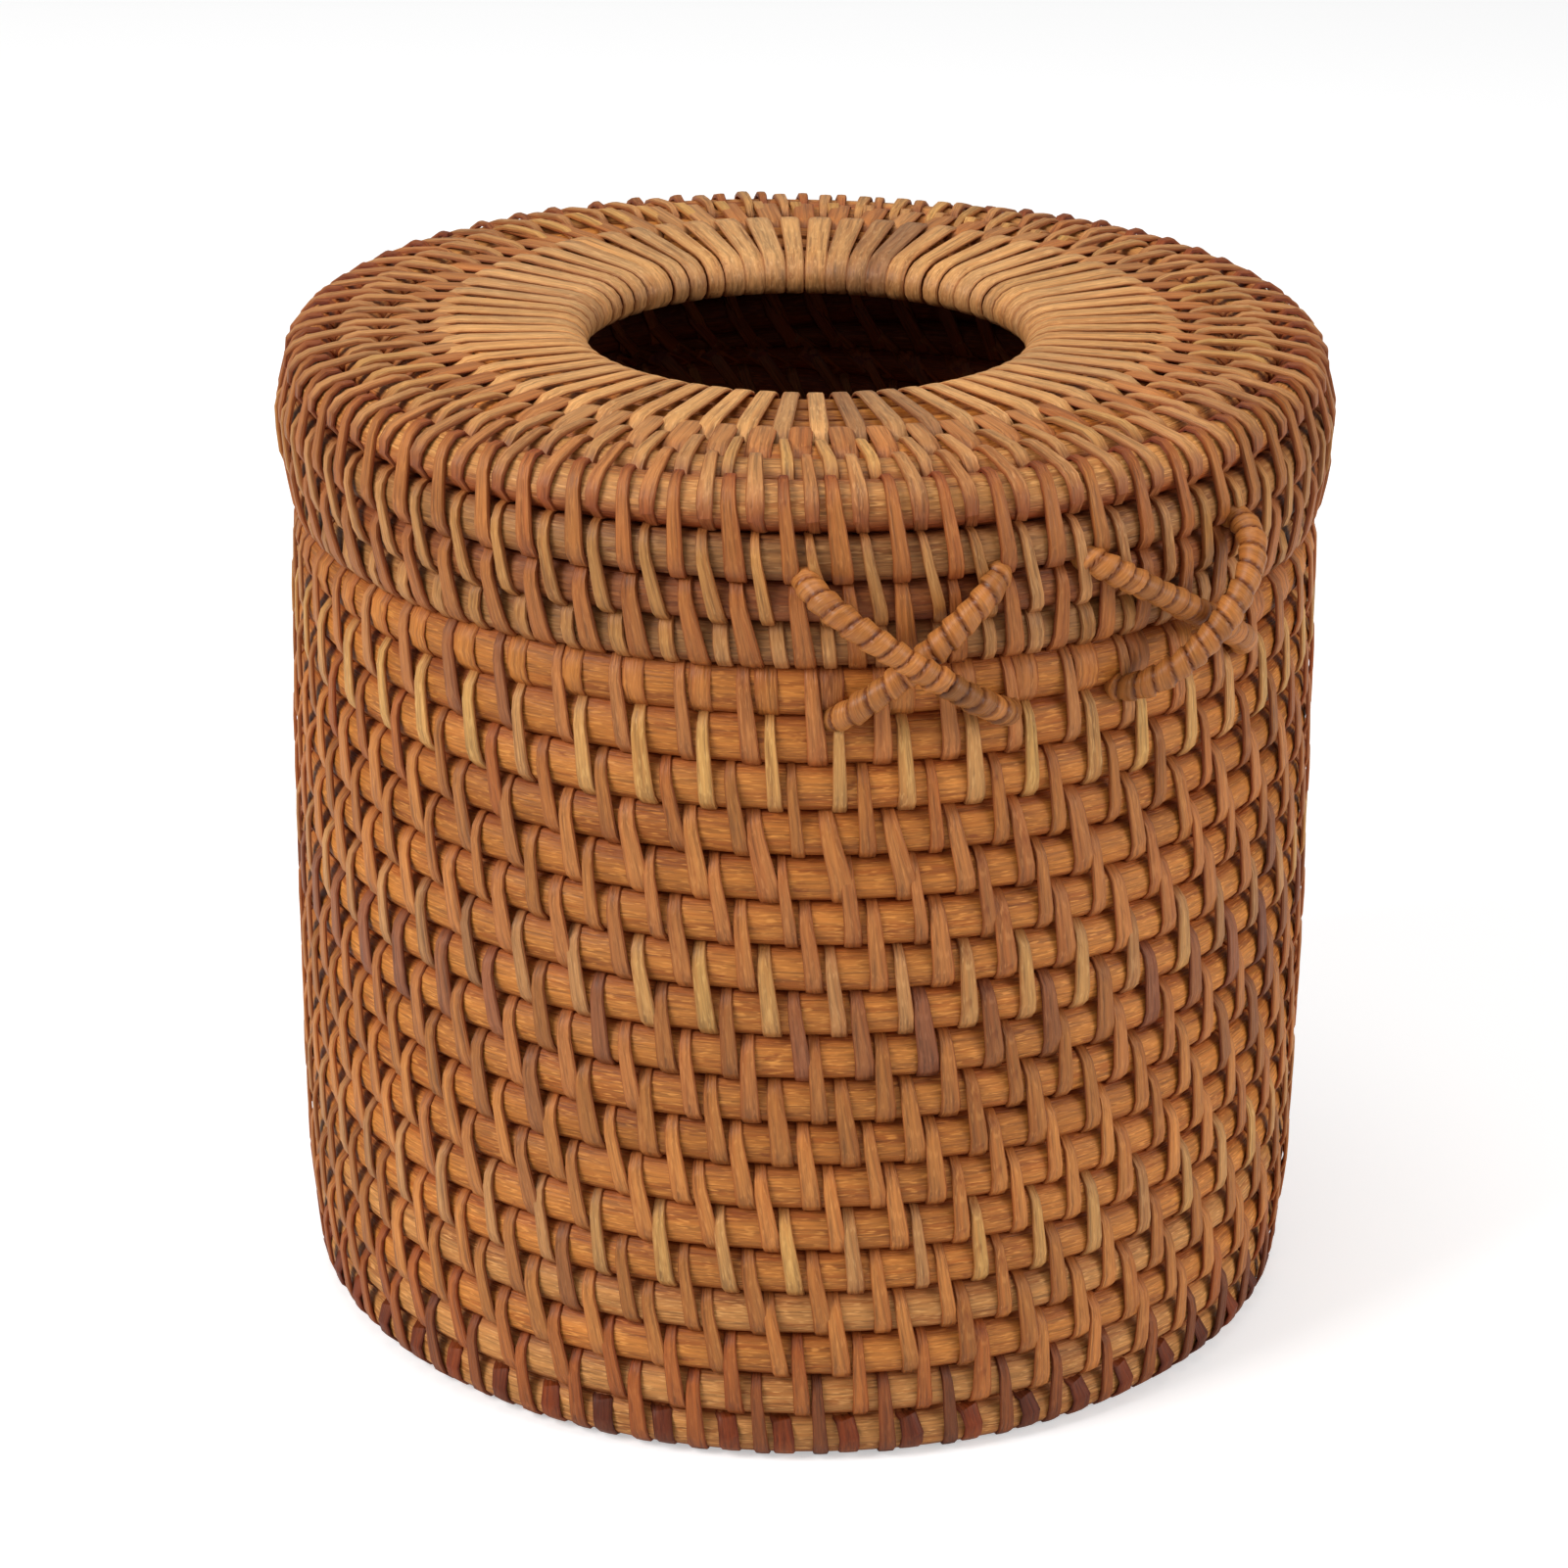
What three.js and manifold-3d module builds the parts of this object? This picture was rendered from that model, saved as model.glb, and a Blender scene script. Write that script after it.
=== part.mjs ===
// Round box of coiled cane that covers a roll of tissue. Its wall, floor and lid are wound from cane
// rods, whose courses are sewn to each other with flat strips of cane. The lid has a dispensing hole
// with a wrapped hub round it, and two crossed cords at the front right hinge it.
// Millimetres, +Z up, front towards -Y. The origin is the centre of the face it stands on.

import * as THREE from 'three';
import { mergeVertices } from 'three/addons/utils/BufferGeometryUtils.js';
import Module from 'manifold-3d';

const wasm = await Module();
wasm.setup();

// Driving dimensions
const footRadius = 80.5;          // outside of the wall's stitches, at the foot
const rimRadius = 80.2;           // outside of the wall's stitches, at the rim
const wallBelly = 0.85;           // how far the wall swells at mid height
const bodyHeight = 129;           // from the floor to the top face of the rim
const lidRadius = 82;             // outside of the lid's stitches
const lidHeight = 27.9;           // from the lid's lower face to the top of its rings
const holeRadius = 34;            // dispensing hole, inside its wrapping
const hubWidth = 25.1;            // from the hole to the hub's outer edge
const bodyCane = 6.4;             // thickness of the rod in the wall and the floor
const lidCane = 5.8;              // thickness of the rod in the lid
const hubCane = 5.2;              // thickness of the rod inside the hub
const stripThickness = 0.8;       // flat strips that sew the courses together
const leastCourseGap = 0.55;      // least room between two courses, where a strip passes
const clearance = 0.3;            // between pieces that touch
const tieThickness = 4.2;         // wrapped cord of the hinge ties
const tieTail = 5;                // tucked length of a tie's ends, inside the lid
const smallestRing = 5;           // radius of the first course at the centre of the floor
const wallRods = ['lower', 'middle', 'upper'];    // one cane isn't long enough for the whole wall

// How the rods are wound and drawn
const stepShare = 0.25;           // part of a turn, at the back, where the rod steps over a course
const evenSpiral = 1;             // the floor's rod steps over through the whole turn instead
const startAngle = -135;          // degrees from the front, where a course starts after its step
const wallSteps = 24;             // steps to a turn, in the wall and the lid
const wallSides = 6;
const floorSteps = 16;
const floorSides = 5;
const hubSteps = 16;
const hubSides = 4;
const wrapSteps = 36;
const tieSides = 8;

const colours = {
  wallCane: '#b9793c',
  lidCane: '#b98a52',
  strip: '#b8814a',
  darkStrip: '#8f5530',
  cord: '#c08a55',
};

function caneMaterial(colour, roughness = 0.55) {
  return new THREE.MeshStandardMaterial({ color: colour, roughness, metalness: 0 });
}

// A point at an angle from the front, in degrees towards +X
function polar(radius, angle, z) {
  const a = THREE.MathUtils.degToRad(angle);
  return new THREE.Vector3(radius * Math.sin(a), -radius * Math.cos(a), z);
}

// Heights and radii that the pieces share

const floorCaneZ = stripThickness + clearance + bodyCane / 2;
const rimCaneZ = bodyHeight - stripThickness - clearance - bodyCane / 2;
const partingZ = bodyHeight + clearance / 2;
const lidFootZ = bodyHeight + clearance;
const lidEdgeCaneZ = lidFootZ + stripThickness + clearance + lidCane / 2;
const lidTopCaneZ = lidFootZ + lidHeight - stripThickness - lidCane / 2;
const lidCaneRadius = lidRadius - stripThickness - lidCane / 2;
const lidCorner = 1.2 * lidCane;                  // the rods turn this corner between top and skirt
const hubRadius = holeRadius + hubWidth;
const hubCaneZ = lidTopCaneZ + lidCane / 2 - hubCane / 2;
const hubHalfHeight = hubCane / 2 + clearance + stripThickness;

function wallCaneRadius(z) {
  const share = THREE.MathUtils.clamp(z / bodyHeight, 0, 1);
  const outside = THREE.MathUtils.lerp(footRadius, rimRadius, share) + 4 * wallBelly * share * (1 - share);
  return outside - stripThickness - bodyCane / 2;
}

// Courses lie along a profile, which gives for a distance along it the radius, the height and the
// direction that faces outwards. As many courses fit as leave room for the strips between them.
function spacedCourses(length, cane) {
  const steps = Math.floor(length / (cane + leastCourseGap) + 1e-6);
  return { count: steps + 1, pitch: length / steps };
}

const wall = {
  cane: bodyCane,
  stepShare,
  ...spacedCourses(rimCaneZ - floorCaneZ, bodyCane),
  at: (d) => ({ r: wallCaneRadius(floorCaneZ + d), z: floorCaneZ + d, out: [1, 0] }),
};

const besideHub = hubRadius / Math.cos(Math.PI / wallSteps) + clearance;
const lidFlat = lidCaneRadius - lidCorner - (besideHub + lidCane / 2);
const lidArc = (lidCorner * Math.PI) / 2;
const lidDrop = lidTopCaneZ - lidCorner - lidEdgeCaneZ;

const lid = {
  cane: lidCane,
  stepShare,
  ...spacedCourses(lidFlat + lidArc + lidDrop, lidCane),
  at: (d) => {
    const centreR = lidCaneRadius - lidCorner;
    const centreZ = lidTopCaneZ - lidCorner;
    if (d < lidFlat) return { r: centreR - lidFlat + d, z: lidTopCaneZ, out: [0, 1] };
    if (d > lidFlat + lidArc) return { r: lidCaneRadius, z: centreZ - (d - lidFlat - lidArc), out: [1, 0] };
    const turn = (d - lidFlat) / lidCorner;
    const out = [Math.sin(turn), Math.cos(turn)];
    return { r: centreR + lidCorner * out[0], z: centreZ + lidCorner * out[1], out };
  },
};

const throatFacet = (holeRadius + stripThickness + clearance) / Math.cos(Math.PI / hubSteps);
const hubFirst = throatFacet + hubCane / 2;
const hubLast = hubRadius - clearance - hubCane / 2;

const hub = {
  cane: hubCane,
  stepShare,
  ...spacedCourses(hubLast - hubFirst, hubCane),
  at: (d) => ({ r: hubFirst + d, z: hubCaneZ, out: [0, 1] }),
};

const sleeveGap = bodyCane / 2 + clearance;       // from the rod's middle to the binding behind it
const wallInside = wallCaneRadius(floorCaneZ) - sleeveGap - stripThickness;
const wallFacetInside = wallInside * Math.cos(Math.PI / wallSteps);
const floorLast = wallFacetInside - clearance - bodyCane / 2;
const floorPitch = bodyCane + leastCourseGap;
const floorSpans = Math.floor((floorLast - smallestRing) / floorPitch);

const floor = {
  cane: bodyCane,
  stepShare: evenSpiral,
  count: floorSpans + 1,
  pitch: floorPitch,
  at: (d) => ({ r: floorLast - floorSpans * floorPitch + d, z: floorCaneZ, out: [0, 1] }),
};

// Closed bodies

// Rings of points, each the same length, joined in order and closed at both ends
function skinOfRings(rings) {
  const sides = rings[0].length;
  const positions = [];
  const triangle = (a, b, c) => positions.push(...a.toArray(), ...b.toArray(), ...c.toArray());
  for (let i = 0; i + 1 < rings.length; i++) {
    for (let j = 0; j < sides; j++) {
      const k = (j + 1) % sides;
      triangle(rings[i][j], rings[i][k], rings[i + 1][k]);
      triangle(rings[i][j], rings[i + 1][k], rings[i + 1][j]);
    }
  }
  const first = rings[0];
  const last = rings[rings.length - 1];
  for (let j = 1; j + 1 < sides; j++) {
    triangle(first[0], first[j + 1], first[j]);
    triangle(last[0], last[j], last[j + 1]);
  }
  return closedGeometry(positions);
}

// Merges shared points and turns the faces outwards
function closedGeometry(positions) {
  let volume = 0;
  for (let i = 0; i < positions.length; i += 9) {
    const [a, b, c] = [0, 3, 6].map((n) => new THREE.Vector3().fromArray(positions, i + n));
    volume += a.dot(b.cross(c));
  }
  if (volume < 0) {
    for (let i = 0; i < positions.length; i += 9) {
      const b = positions.slice(i + 3, i + 6);
      positions.splice(i + 3, 6, ...positions.slice(i + 6, i + 9), ...b);
    }
  }
  const geometry = new THREE.BufferGeometry();
  geometry.setAttribute('position', new THREE.Float32BufferAttribute(positions, 3));
  return mergeVertices(geometry);
}

// A closed profile of [radius, z] points, turned round the vertical axis
function turned(profile, steps = wallSteps) {
  const rings = [];
  for (let i = 0; i < steps; i++) {
    rings.push(profile.map(([r, z]) => polar(r, (i * 360) / steps, z)));
  }
  const positions = [];
  for (let i = 0; i < steps; i++) {
    const next = rings[(i + 1) % steps];
    for (let j = 0; j < profile.length; j++) {
      const k = (j + 1) % profile.length;
      for (const p of [rings[i][j], rings[i][k], next[k], rings[i][j], next[k], next[j]]) {
        positions.push(...p.toArray());
      }
    }
  }
  return closedGeometry(positions);
}

function disc(radius, lowZ, highZ) {
  const geometry = new THREE.CylinderGeometry(radius, radius, highZ - lowZ, 2 * wallSteps);
  geometry.rotateX(Math.PI / 2);
  geometry.translate(0, 0, (lowZ + highZ) / 2);
  return geometry;
}

function toManifold(geometry) {
  const bare = mergeVertices(geometry);
  return new wasm.Manifold(
    new wasm.Mesh({
      numProp: 3,
      vertProperties: new Float32Array(bare.attributes.position.array),
      triVerts: new Uint32Array(bare.index.array),
    }),
  );
}

function fromManifold(solid) {
  const mesh = solid.getMesh();
  const geometry = new THREE.BufferGeometry();
  geometry.setAttribute('position', new THREE.Float32BufferAttribute(mesh.vertProperties, mesh.numProp));
  geometry.setIndex(new THREE.Uint32BufferAttribute(mesh.triVerts, 1));
  return geometry;
}

// The rod of a coil. It runs level, and over the last share of each turn it steps on to the next
// course. Its ends taper into the wedges that the first and the last step leave.
const gapNotes = [];

function stepped(turns, share) {
  if (share === evenSpiral) return turns;
  const whole = Math.floor(turns);
  const late = Math.max(0, (turns - whole - (1 - share)) / share);
  return whole + late * late * (3 - 2 * late);
}

function coilStations({ cane, pitch, count, stepShare: share }, steps, taperStart) {
  const gap = pitch - cane;
  const stations = [];
  const lastFull = count - share;
  for (let i = taperStart ? -Math.round(share * steps) : 0; i / steps < count; i++) {
    const turns = i / steps;
    let along = stepped(turns, share) * pitch;
    let height = cane;
    if (turns < 0) {
      height = (stepped(turns, share) + 1) * pitch - gap;
      along = (height - cane) / 2;
    } else if (turns > lastFull) {
      height = (count - stepped(turns, share)) * pitch - gap;
      along = (count - 1) * pitch + (cane - height) / 2;
    }
    if (height < cane / 6) continue;
    stations.push({ turns, along, height, thick: (cane + height) / 2 });
  }
  return stations;
}

function coil(name, winding, steps, sides, taperStart = true) {
  return rod(name, winding, steps, sides, coilStations(winding, steps, taperStart));
}

// Rods laid end to end make one coil. They meet at the start of a course.
function splicedCoil(names, winding, steps, sides) {
  const stations = coilStations(winding, steps, true);
  const courses = Math.ceil(winding.count / names.length);
  return names.map((name, i) => {
    const from = i * courses;
    const to = from + courses;
    const own = stations.filter(({ turns }) => (i === 0 || turns >= from) && turns <= to);
    if (i > 0) {
      const { r } = winding.at(own[0].along);
      own[0] = { ...own[0], turns: own[0].turns + clearance / (2 * Math.PI * r) };
    }
    return rod(name, winding, steps, sides, own);
  });
}

function rod(name, winding, steps, sides, stations) {
  const rings = stations.map(({ turns, along, height, thick }) => {
    const { r, z, out } = winding.at(along);
    const ring = [];
    for (let j = 0; j < sides; j++) {
      const a = (j * 2 * Math.PI) / sides;
      const outwards = (Math.cos(a) * thick) / 2;
      const sideways = (Math.sin(a) * height) / 2;
      const radius = r + out[0] * outwards + out[1] * sideways;
      ring.push(polar(radius, startAngle + 360 * turns, z + out[1] * outwards - out[0] * sideways));
    }
    return ring;
  });
  gapNotes.push(`${name}: least gap to itself ${leastGap(winding, stations, steps).toFixed(2)} mm`);
  return skinOfRings(rings);
}

// Least distance between two turns, measured on the rod's middle points less half of each height
function leastGap(winding, stations, steps) {
  const points = stations.map(({ turns, along }) => {
    const { r, z } = winding.at(along);
    return polar(r, startAngle + 360 * turns, z);
  });
  let least = Infinity;
  for (let i = 0; i < points.length; i++) {
    for (let j = i + Math.floor(steps / 2); j < points.length; j++) {
      const between = points[i].distanceTo(points[j]) - (stations[i].height + stations[j].height) / 2;
      least = Math.min(least, between);
    }
  }
  return least;
}

// The strips of one course, as the plain sleeve that their inner runs make behind the rod
function bindingProfile(winding, course) {
  const near = winding.cane / 2 + clearance;
  const half = winding.pitch / 2 - clearance / 2;
  const middle = course * winding.pitch;
  const start = course === 0 ? -winding.cane / 2 : -half;
  const bends = winding.at(middle - half).out[0] !== winding.at(middle + half).out[0];
  const behind = (offset) => (bends ? [start, 0, half] : [start, half]).map((d) => {
    const { r, z, out } = winding.at(middle + d);
    return [r - out[0] * offset, z - out[1] * offset];
  });
  return [...behind(near), ...behind(near + stripThickness).reverse()];
}

// The last course's sleeve turns out over the rod and makes the face where lid and body meet
function edgeBindingProfile(r, cane, farZ, faceZ) {
  const into = Math.sign(farZ - faceZ);
  const inner = r - cane / 2 - clearance - stripThickness;
  const outer = r + cane / 2;
  return [
    [inner, farZ],
    [inner, faceZ],
    [outer, faceZ],
    [outer, faceZ + into * stripThickness],
    [inner + stripThickness, faceZ + into * stripThickness],
    [inner + stripThickness, farZ],
  ];
}

// The hub's strips, one shell that runs under the rods, round the throat and back over the top
function hubWrapProfile() {
  const arcSteps = 5;
  const outerCentre = holeRadius + hubHalfHeight;
  const shell = (half) => {
    const points = [[hubRadius, hubCaneZ + half]];
    for (let i = 0; i <= arcSteps; i++) {
      const a = Math.PI / 2 + (i * Math.PI) / arcSteps;
      points.push([outerCentre + half * Math.cos(a), hubCaneZ + half * Math.sin(a)]);
    }
    points.push([hubRadius, hubCaneZ - half]);
    return points;
  };
  return [...shell(hubHalfHeight), ...shell(hubHalfHeight - stripThickness).reverse()];
}

// Hinge ties. One cord crosses the parting twice on the outside: it comes out of the lid, goes in
// through the body, runs along the inside, comes out again and goes back into the lid.
const hingeAngle = 28;                            // degrees from the front, midway between the ties
const tieUpZ = lid.at((lid.count - 2.5) * lid.pitch).z;
const tieDownZ = wall.at((wall.count - 1.5) * wall.pitch).z;
const tieAcross = tieThickness + 0.5;             // the upper cord rides this far over the lower
const tieTurn = 4;                                // how early a cord starts to turn, inside

const leftTie = { overUp: 0, overDown: 21.5, underDown: 3, underUp: 20 };
const rightTie = { overUp: 50.5, overDown: 35, underDown: 55, underUp: 29.5 };

// The lid turns about a line outside the lid's edge, under the crossed cords, at the parting
const hinge = {
  point: polar(lidRadius + tieThickness / 2, hingeAngle, partingZ),
  axis: polar(1, hingeAngle + 90, 0),
  degrees: [0, 105],
};

const insideLid = lidCaneRadius - lidCane / 2 - 2 * clearance - stripThickness - tieThickness / 2;
const insideBody = wallCaneRadius(tieDownZ) - sleeveGap - stripThickness - clearance - tieThickness / 2;
const exitLid = lidCaneRadius + 0.7;
const exitBody = wallCaneRadius(tieDownZ) + 0.7;

// An arch from one wall exit to the other, whose middle clears the lid by the given height
function arch(fromAngle, fromR, fromZ, toAngle, toR, toZ, overLid) {
  const a = polar(fromR, fromAngle, fromZ);
  const b = polar(toR, toAngle, toZ);
  const middle = a.clone().add(b).multiplyScalar(0.5);
  const wanted = lidRadius + tieThickness / 2 + overLid;
  const raise = ((wanted - Math.hypot(middle.x, middle.y)) * 4) / 3;
  const outA = polar(1, fromAngle, 0).multiplyScalar(raise);
  const outB = polar(1, toAngle, 0).multiplyScalar(raise);
  return new THREE.CubicBezierCurve3(a, a.clone().add(outA), b.clone().add(outB), b);
}

function tieRoute({ overUp, overDown, underDown, underUp }) {
  const points = [];
  const straight = (from, to) => points.push(from, to);
  const corner = (from, at, to) => {
    points.push(...new THREE.QuadraticBezierCurve3(from, at, to).getPoints(4).slice(1, -1));
  };
  const bridge = (curve) => points.push(...curve.getPoints(8).slice(1, -1));
  const along = (angle, r, z, distance) => {
    return polar(r, angle + THREE.MathUtils.radToDeg(distance / r), z);
  };
  const across = Math.sign(underDown - overDown);
  const inwards = Math.sign(underUp - overUp);
  const inUp = insideLid + tieTurn;
  const inDown = insideBody + tieTurn;

  straight(
    along(overUp, insideLid, tieUpZ, inwards * (tieTail + tieTurn)),
    along(overUp, insideLid, tieUpZ, inwards * tieTurn),
  );
  corner(points.at(-1), polar(insideLid, overUp, tieUpZ), polar(inUp, overUp, tieUpZ));
  straight(polar(inUp, overUp, tieUpZ), polar(exitLid, overUp, tieUpZ));
  bridge(arch(overUp, exitLid, tieUpZ, overDown, exitBody, tieDownZ, tieAcross + clearance));
  straight(polar(exitBody, overDown, tieDownZ), polar(inDown, overDown, tieDownZ));
  corner(
    points.at(-1),
    polar(insideBody, overDown, tieDownZ),
    along(overDown, insideBody, tieDownZ, across * tieTurn),
  );
  straight(
    along(overDown, insideBody, tieDownZ, across * tieTurn),
    along(underDown, insideBody, tieDownZ, -across * tieTurn),
  );
  corner(points.at(-1), polar(insideBody, underDown, tieDownZ), polar(inDown, underDown, tieDownZ));
  straight(polar(inDown, underDown, tieDownZ), polar(exitBody, underDown, tieDownZ));
  bridge(arch(underDown, exitBody, tieDownZ, underUp, exitLid, tieUpZ, clearance));
  straight(polar(exitLid, underUp, tieUpZ), polar(inUp, underUp, tieUpZ));
  corner(
    points.at(-1),
    polar(insideLid, underUp, tieUpZ),
    along(underUp, insideLid, tieUpZ, -inwards * tieTurn),
  );
  straight(
    along(underUp, insideLid, tieUpZ, -inwards * tieTurn),
    along(underUp, insideLid, tieUpZ, -inwards * (tieTail + tieTurn)),
  );
  return points;
}

// A tube of even thickness along a row of points, its section carried along without twist
function tube(points, thickness) {
  const tangents = points.map((p, i) => {
    const before = points[Math.max(i - 1, 0)];
    const after = points[Math.min(i + 1, points.length - 1)];
    return after.clone().sub(before).normalize();
  });
  let side = new THREE.Vector3(0, 0, 1).cross(tangents[0]).normalize();
  const rings = points.map((p, i) => {
    side = side.addScaledVector(tangents[i], -side.dot(tangents[i])).normalize();
    const other = tangents[i].clone().cross(side);
    const ring = [];
    for (let j = 0; j < tieSides; j++) {
      const a = (j * 2 * Math.PI) / tieSides;
      const offset = side.clone().multiplyScalar(Math.cos(a)).addScaledVector(other, Math.sin(a));
      ring.push(p.clone().addScaledVector(offset, thickness / 2));
    }
    return ring;
  });
  return skinOfRings(rings);
}

function tieGap(points) {
  const apart = 4 * tieThickness;
  let least = Infinity;
  for (let i = 0; i < points.length; i++) {
    let walked = 0;
    for (let j = i + 1; j < points.length; j++) {
      walked += points[j].distanceTo(points[j - 1]);
      if (walked > apart) least = Math.min(least, points[i].distanceTo(points[j]) - tieThickness);
    }
  }
  return least;
}

const ties = { left_hinge_tie: tieRoute(leftTie), right_hinge_tie: tieRoute(rightTie) };
for (const [name, route] of Object.entries(ties)) {
  gapNotes.push(`${name}: least gap to itself ${tieGap(route).toFixed(2)} mm`);
}
const tunnels = Object.values(ties).map((route) => toManifold(tube(route, tieThickness + 2 * clearance)));

// The ties pass between two courses, which make room for them
function withTieHoles(geometry) {
  return fromManifold(tunnels.reduce((solid, tunnel) => solid.subtract(tunnel), toManifold(geometry)));
}

// The scene graph

const box = new THREE.Group();
const body = new THREE.Group();
const lidGroup = new THREE.Group();
lidGroup.userData.hinge = hinge;
box.add(body, lidGroup);

function add(group, name, geometry, material) {
  const mesh = new THREE.Mesh(geometry, material);
  mesh.name = name;
  group.add(mesh);
}

const numbered = (name, k) => `${name}_${String(k).padStart(2, '0')}`;
const wallCane = caneMaterial(colours.wallCane);
const lidCaneColour = caneMaterial(colours.lidCane);
const strip = caneMaterial(colours.strip, 0.5);
const darkStrip = caneMaterial(colours.darkStrip, 0.5);
const cord = caneMaterial(colours.cord, 0.5);

const floorBindingRadius = wallCaneRadius(floorCaneZ);
add(body, 'floor_binding', disc(floorBindingRadius, 0, stripThickness), darkStrip);
add(body, 'floor_coil', coil('floor_coil', floor, floorSteps, floorSides, false), wallCane);
const wallCoils = wallRods.map((place) => `wall_coil_${place}`);
splicedCoil(wallCoils, wall, wallSteps, wallSides).forEach((geometry, i) => {
  add(body, wallCoils[i], withTieHoles(geometry), wallCane);
});
for (let k = 0; k < wall.count; k++) {
  const isRim = k === wall.count - 1;
  const farZ = rimCaneZ - wall.pitch / 2 + clearance / 2;
  const profile = isRim
    ? edgeBindingProfile(wallCaneRadius(rimCaneZ), bodyCane, farZ, bodyHeight)
    : bindingProfile(wall, k);
  const material = k === 0 ? darkStrip : strip;
  add(body, numbered('wall_binding', k + 1), withTieHoles(turned(profile)), material);
}

add(lidGroup, 'lid_coil', withTieHoles(coil('lid_coil', lid, wallSteps, wallSides)), lidCaneColour);
for (let k = 0; k < lid.count; k++) {
  const isEdge = k === lid.count - 1;
  const farZ = lidEdgeCaneZ + lid.pitch / 2 - clearance / 2;
  const profile = isEdge
    ? edgeBindingProfile(lidCaneRadius, lidCane, farZ, lidFootZ)
    : bindingProfile(lid, k);
  add(lidGroup, numbered('lid_binding', k + 1), withTieHoles(turned(profile)), strip);
}
add(lidGroup, 'hub_coil', coil('hub_coil', hub, hubSteps, hubSides), lidCaneColour);
add(lidGroup, 'hub_wrap', turned(hubWrapProfile(), wrapSteps), strip);

for (const [name, route] of Object.entries(ties)) add(body, name, tube(route, tieThickness), cord);

console.log(gapNotes.join('\n'));

export default box;
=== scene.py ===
# Round box of coiled cane that covers a roll of tissue, dressed for rendering.
# The rods follow the windings of the solids, and each strip is wound round its two courses stitch by
# stitch. Sizes are in metres, +Z up, with the front towards -Y.

import math
import random

import bpy
import numpy as np
from mathutils import Matrix


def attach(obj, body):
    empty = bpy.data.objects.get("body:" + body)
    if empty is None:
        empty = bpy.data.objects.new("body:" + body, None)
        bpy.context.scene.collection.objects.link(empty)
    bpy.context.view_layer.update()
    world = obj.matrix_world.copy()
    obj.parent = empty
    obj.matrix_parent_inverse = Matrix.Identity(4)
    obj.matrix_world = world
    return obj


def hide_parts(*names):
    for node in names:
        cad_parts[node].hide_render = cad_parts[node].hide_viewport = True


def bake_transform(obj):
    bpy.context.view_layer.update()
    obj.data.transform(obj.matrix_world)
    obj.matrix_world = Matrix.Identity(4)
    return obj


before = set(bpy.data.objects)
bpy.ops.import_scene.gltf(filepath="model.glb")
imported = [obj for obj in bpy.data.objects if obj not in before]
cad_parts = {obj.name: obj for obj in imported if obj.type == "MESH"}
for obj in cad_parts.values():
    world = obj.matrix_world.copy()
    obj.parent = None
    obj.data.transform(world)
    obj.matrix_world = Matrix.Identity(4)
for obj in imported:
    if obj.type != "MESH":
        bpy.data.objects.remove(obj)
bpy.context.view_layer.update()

MM = 0.001

# Sizes of the object, as on the solids
FOOT_RADIUS = 80.5 * MM
RIM_RADIUS = 80.2 * MM
WALL_BELLY = 0.85 * MM
BODY_HEIGHT = 129 * MM
LID_RADIUS = 82 * MM
LID_HEIGHT = 27.9 * MM
HOLE_RADIUS = 34 * MM
HUB_WIDTH = 25.1 * MM
BODY_CANE = 6.4 * MM
LID_CANE = 5.8 * MM
HUB_CANE = 5.2 * MM
STRIP_THICKNESS = 0.8 * MM
LEAST_COURSE_GAP = 0.55 * MM
CLEARANCE = 0.3 * MM
TIE_THICKNESS = 4.2 * MM
TIE_TAIL = 5 * MM
SMALLEST_RING = 5 * MM

# How the rods are wound: the share of a turn that a step to the next course takes, the angle at which
# the courses begin, how many sides the solids' rings have, and how far the rods waver. Each wave of that
# is given by its radians to a turn and where it begins.
STEP_SHARE = 0.25
START_ANGLE = -135
WALL_STEPS = 24
HUB_STEPS = 16
WOBBLE = 0.08 * MM
LID_WOBBLE = 0.06 * MM
WOBBLE_WAVES = [(41.3, 0), (23.9, 1.7), (67.1, 0.4)]

# How the rods differ from the plain solids. Their height is so many times the solids', with a further
# share towards the rim, so that the courses touch. The foot is drawn in, the rim is raised and the hub
# dips. The lid's courses, from the hub down to the parting, lie as the photograph shows them, each given
# by its radius and height in millimetres and the way that it faces, in degrees up from outwards.
ROD_SQUARENESS = 2.45
FOOT_INSET = 1.1 * MM
FOOT_INSET_REACH = 2.2 * BODY_CANE
RIM_LIFT = 0.45 * MM
RIM_LIFT_REACH = 2.5 * BODY_CANE
WALL_FULLNESS = 1.125
RIM_FULLNESS = 0.09
RIM_FULLER_FROM = 14
RIM_FULLER_COURSES = 2
FLOOR_FULLNESS = 1.1
HUB_FULLNESS = 1.13
HUB_DIP = 0.7 * MM
LID_COURSES = [
    (62.45, 153.5, 90),
    (69.4, 153.5, 84),
    (76.5, 152.3, 48),
    (78.3, 145.5, 10),
    (77.9, 139.1, 0),
    (76.8, 132.55, 0),
]
LID_FULLNESS = [1.22, 1.22, 1.3, 1.17, 1.12, 1.27]

# How the strips are sewn: stitches to a turn, the strip's thickness, how far it lies off the rod, and
# the turns that an edge's strip stops short of the rod's end
WALL_STITCHES = 52.39
LID_STITCHES = 65.6
STRIP_BODY = 0.58 * MM
SEAT = 0.06 * MM
EDGE_STOP = 0.02

# The camera, from the photograph
PHOTO_SIZE = 1601
FOCAL_PIXELS = 4582.2
AXIS_PIXEL = (820.0, 710.8)
CAMERA_PLACE = (0, -0.6687, 0.3569)
CAMERA_PITCH = 21.48
CAMERA_ROLL = 0.59
SENSOR_WIDTH = 36


def linear(code):
    """The linear colour of a hexadecimal sRGB code."""
    shares = [int(code[i : i + 2], 16) / 255 for i in (0, 2, 4)]
    return np.array([s / 12.92 if s <= 0.04045 else ((s + 0.055) / 1.055) ** 2.4 for s in shares])


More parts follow.
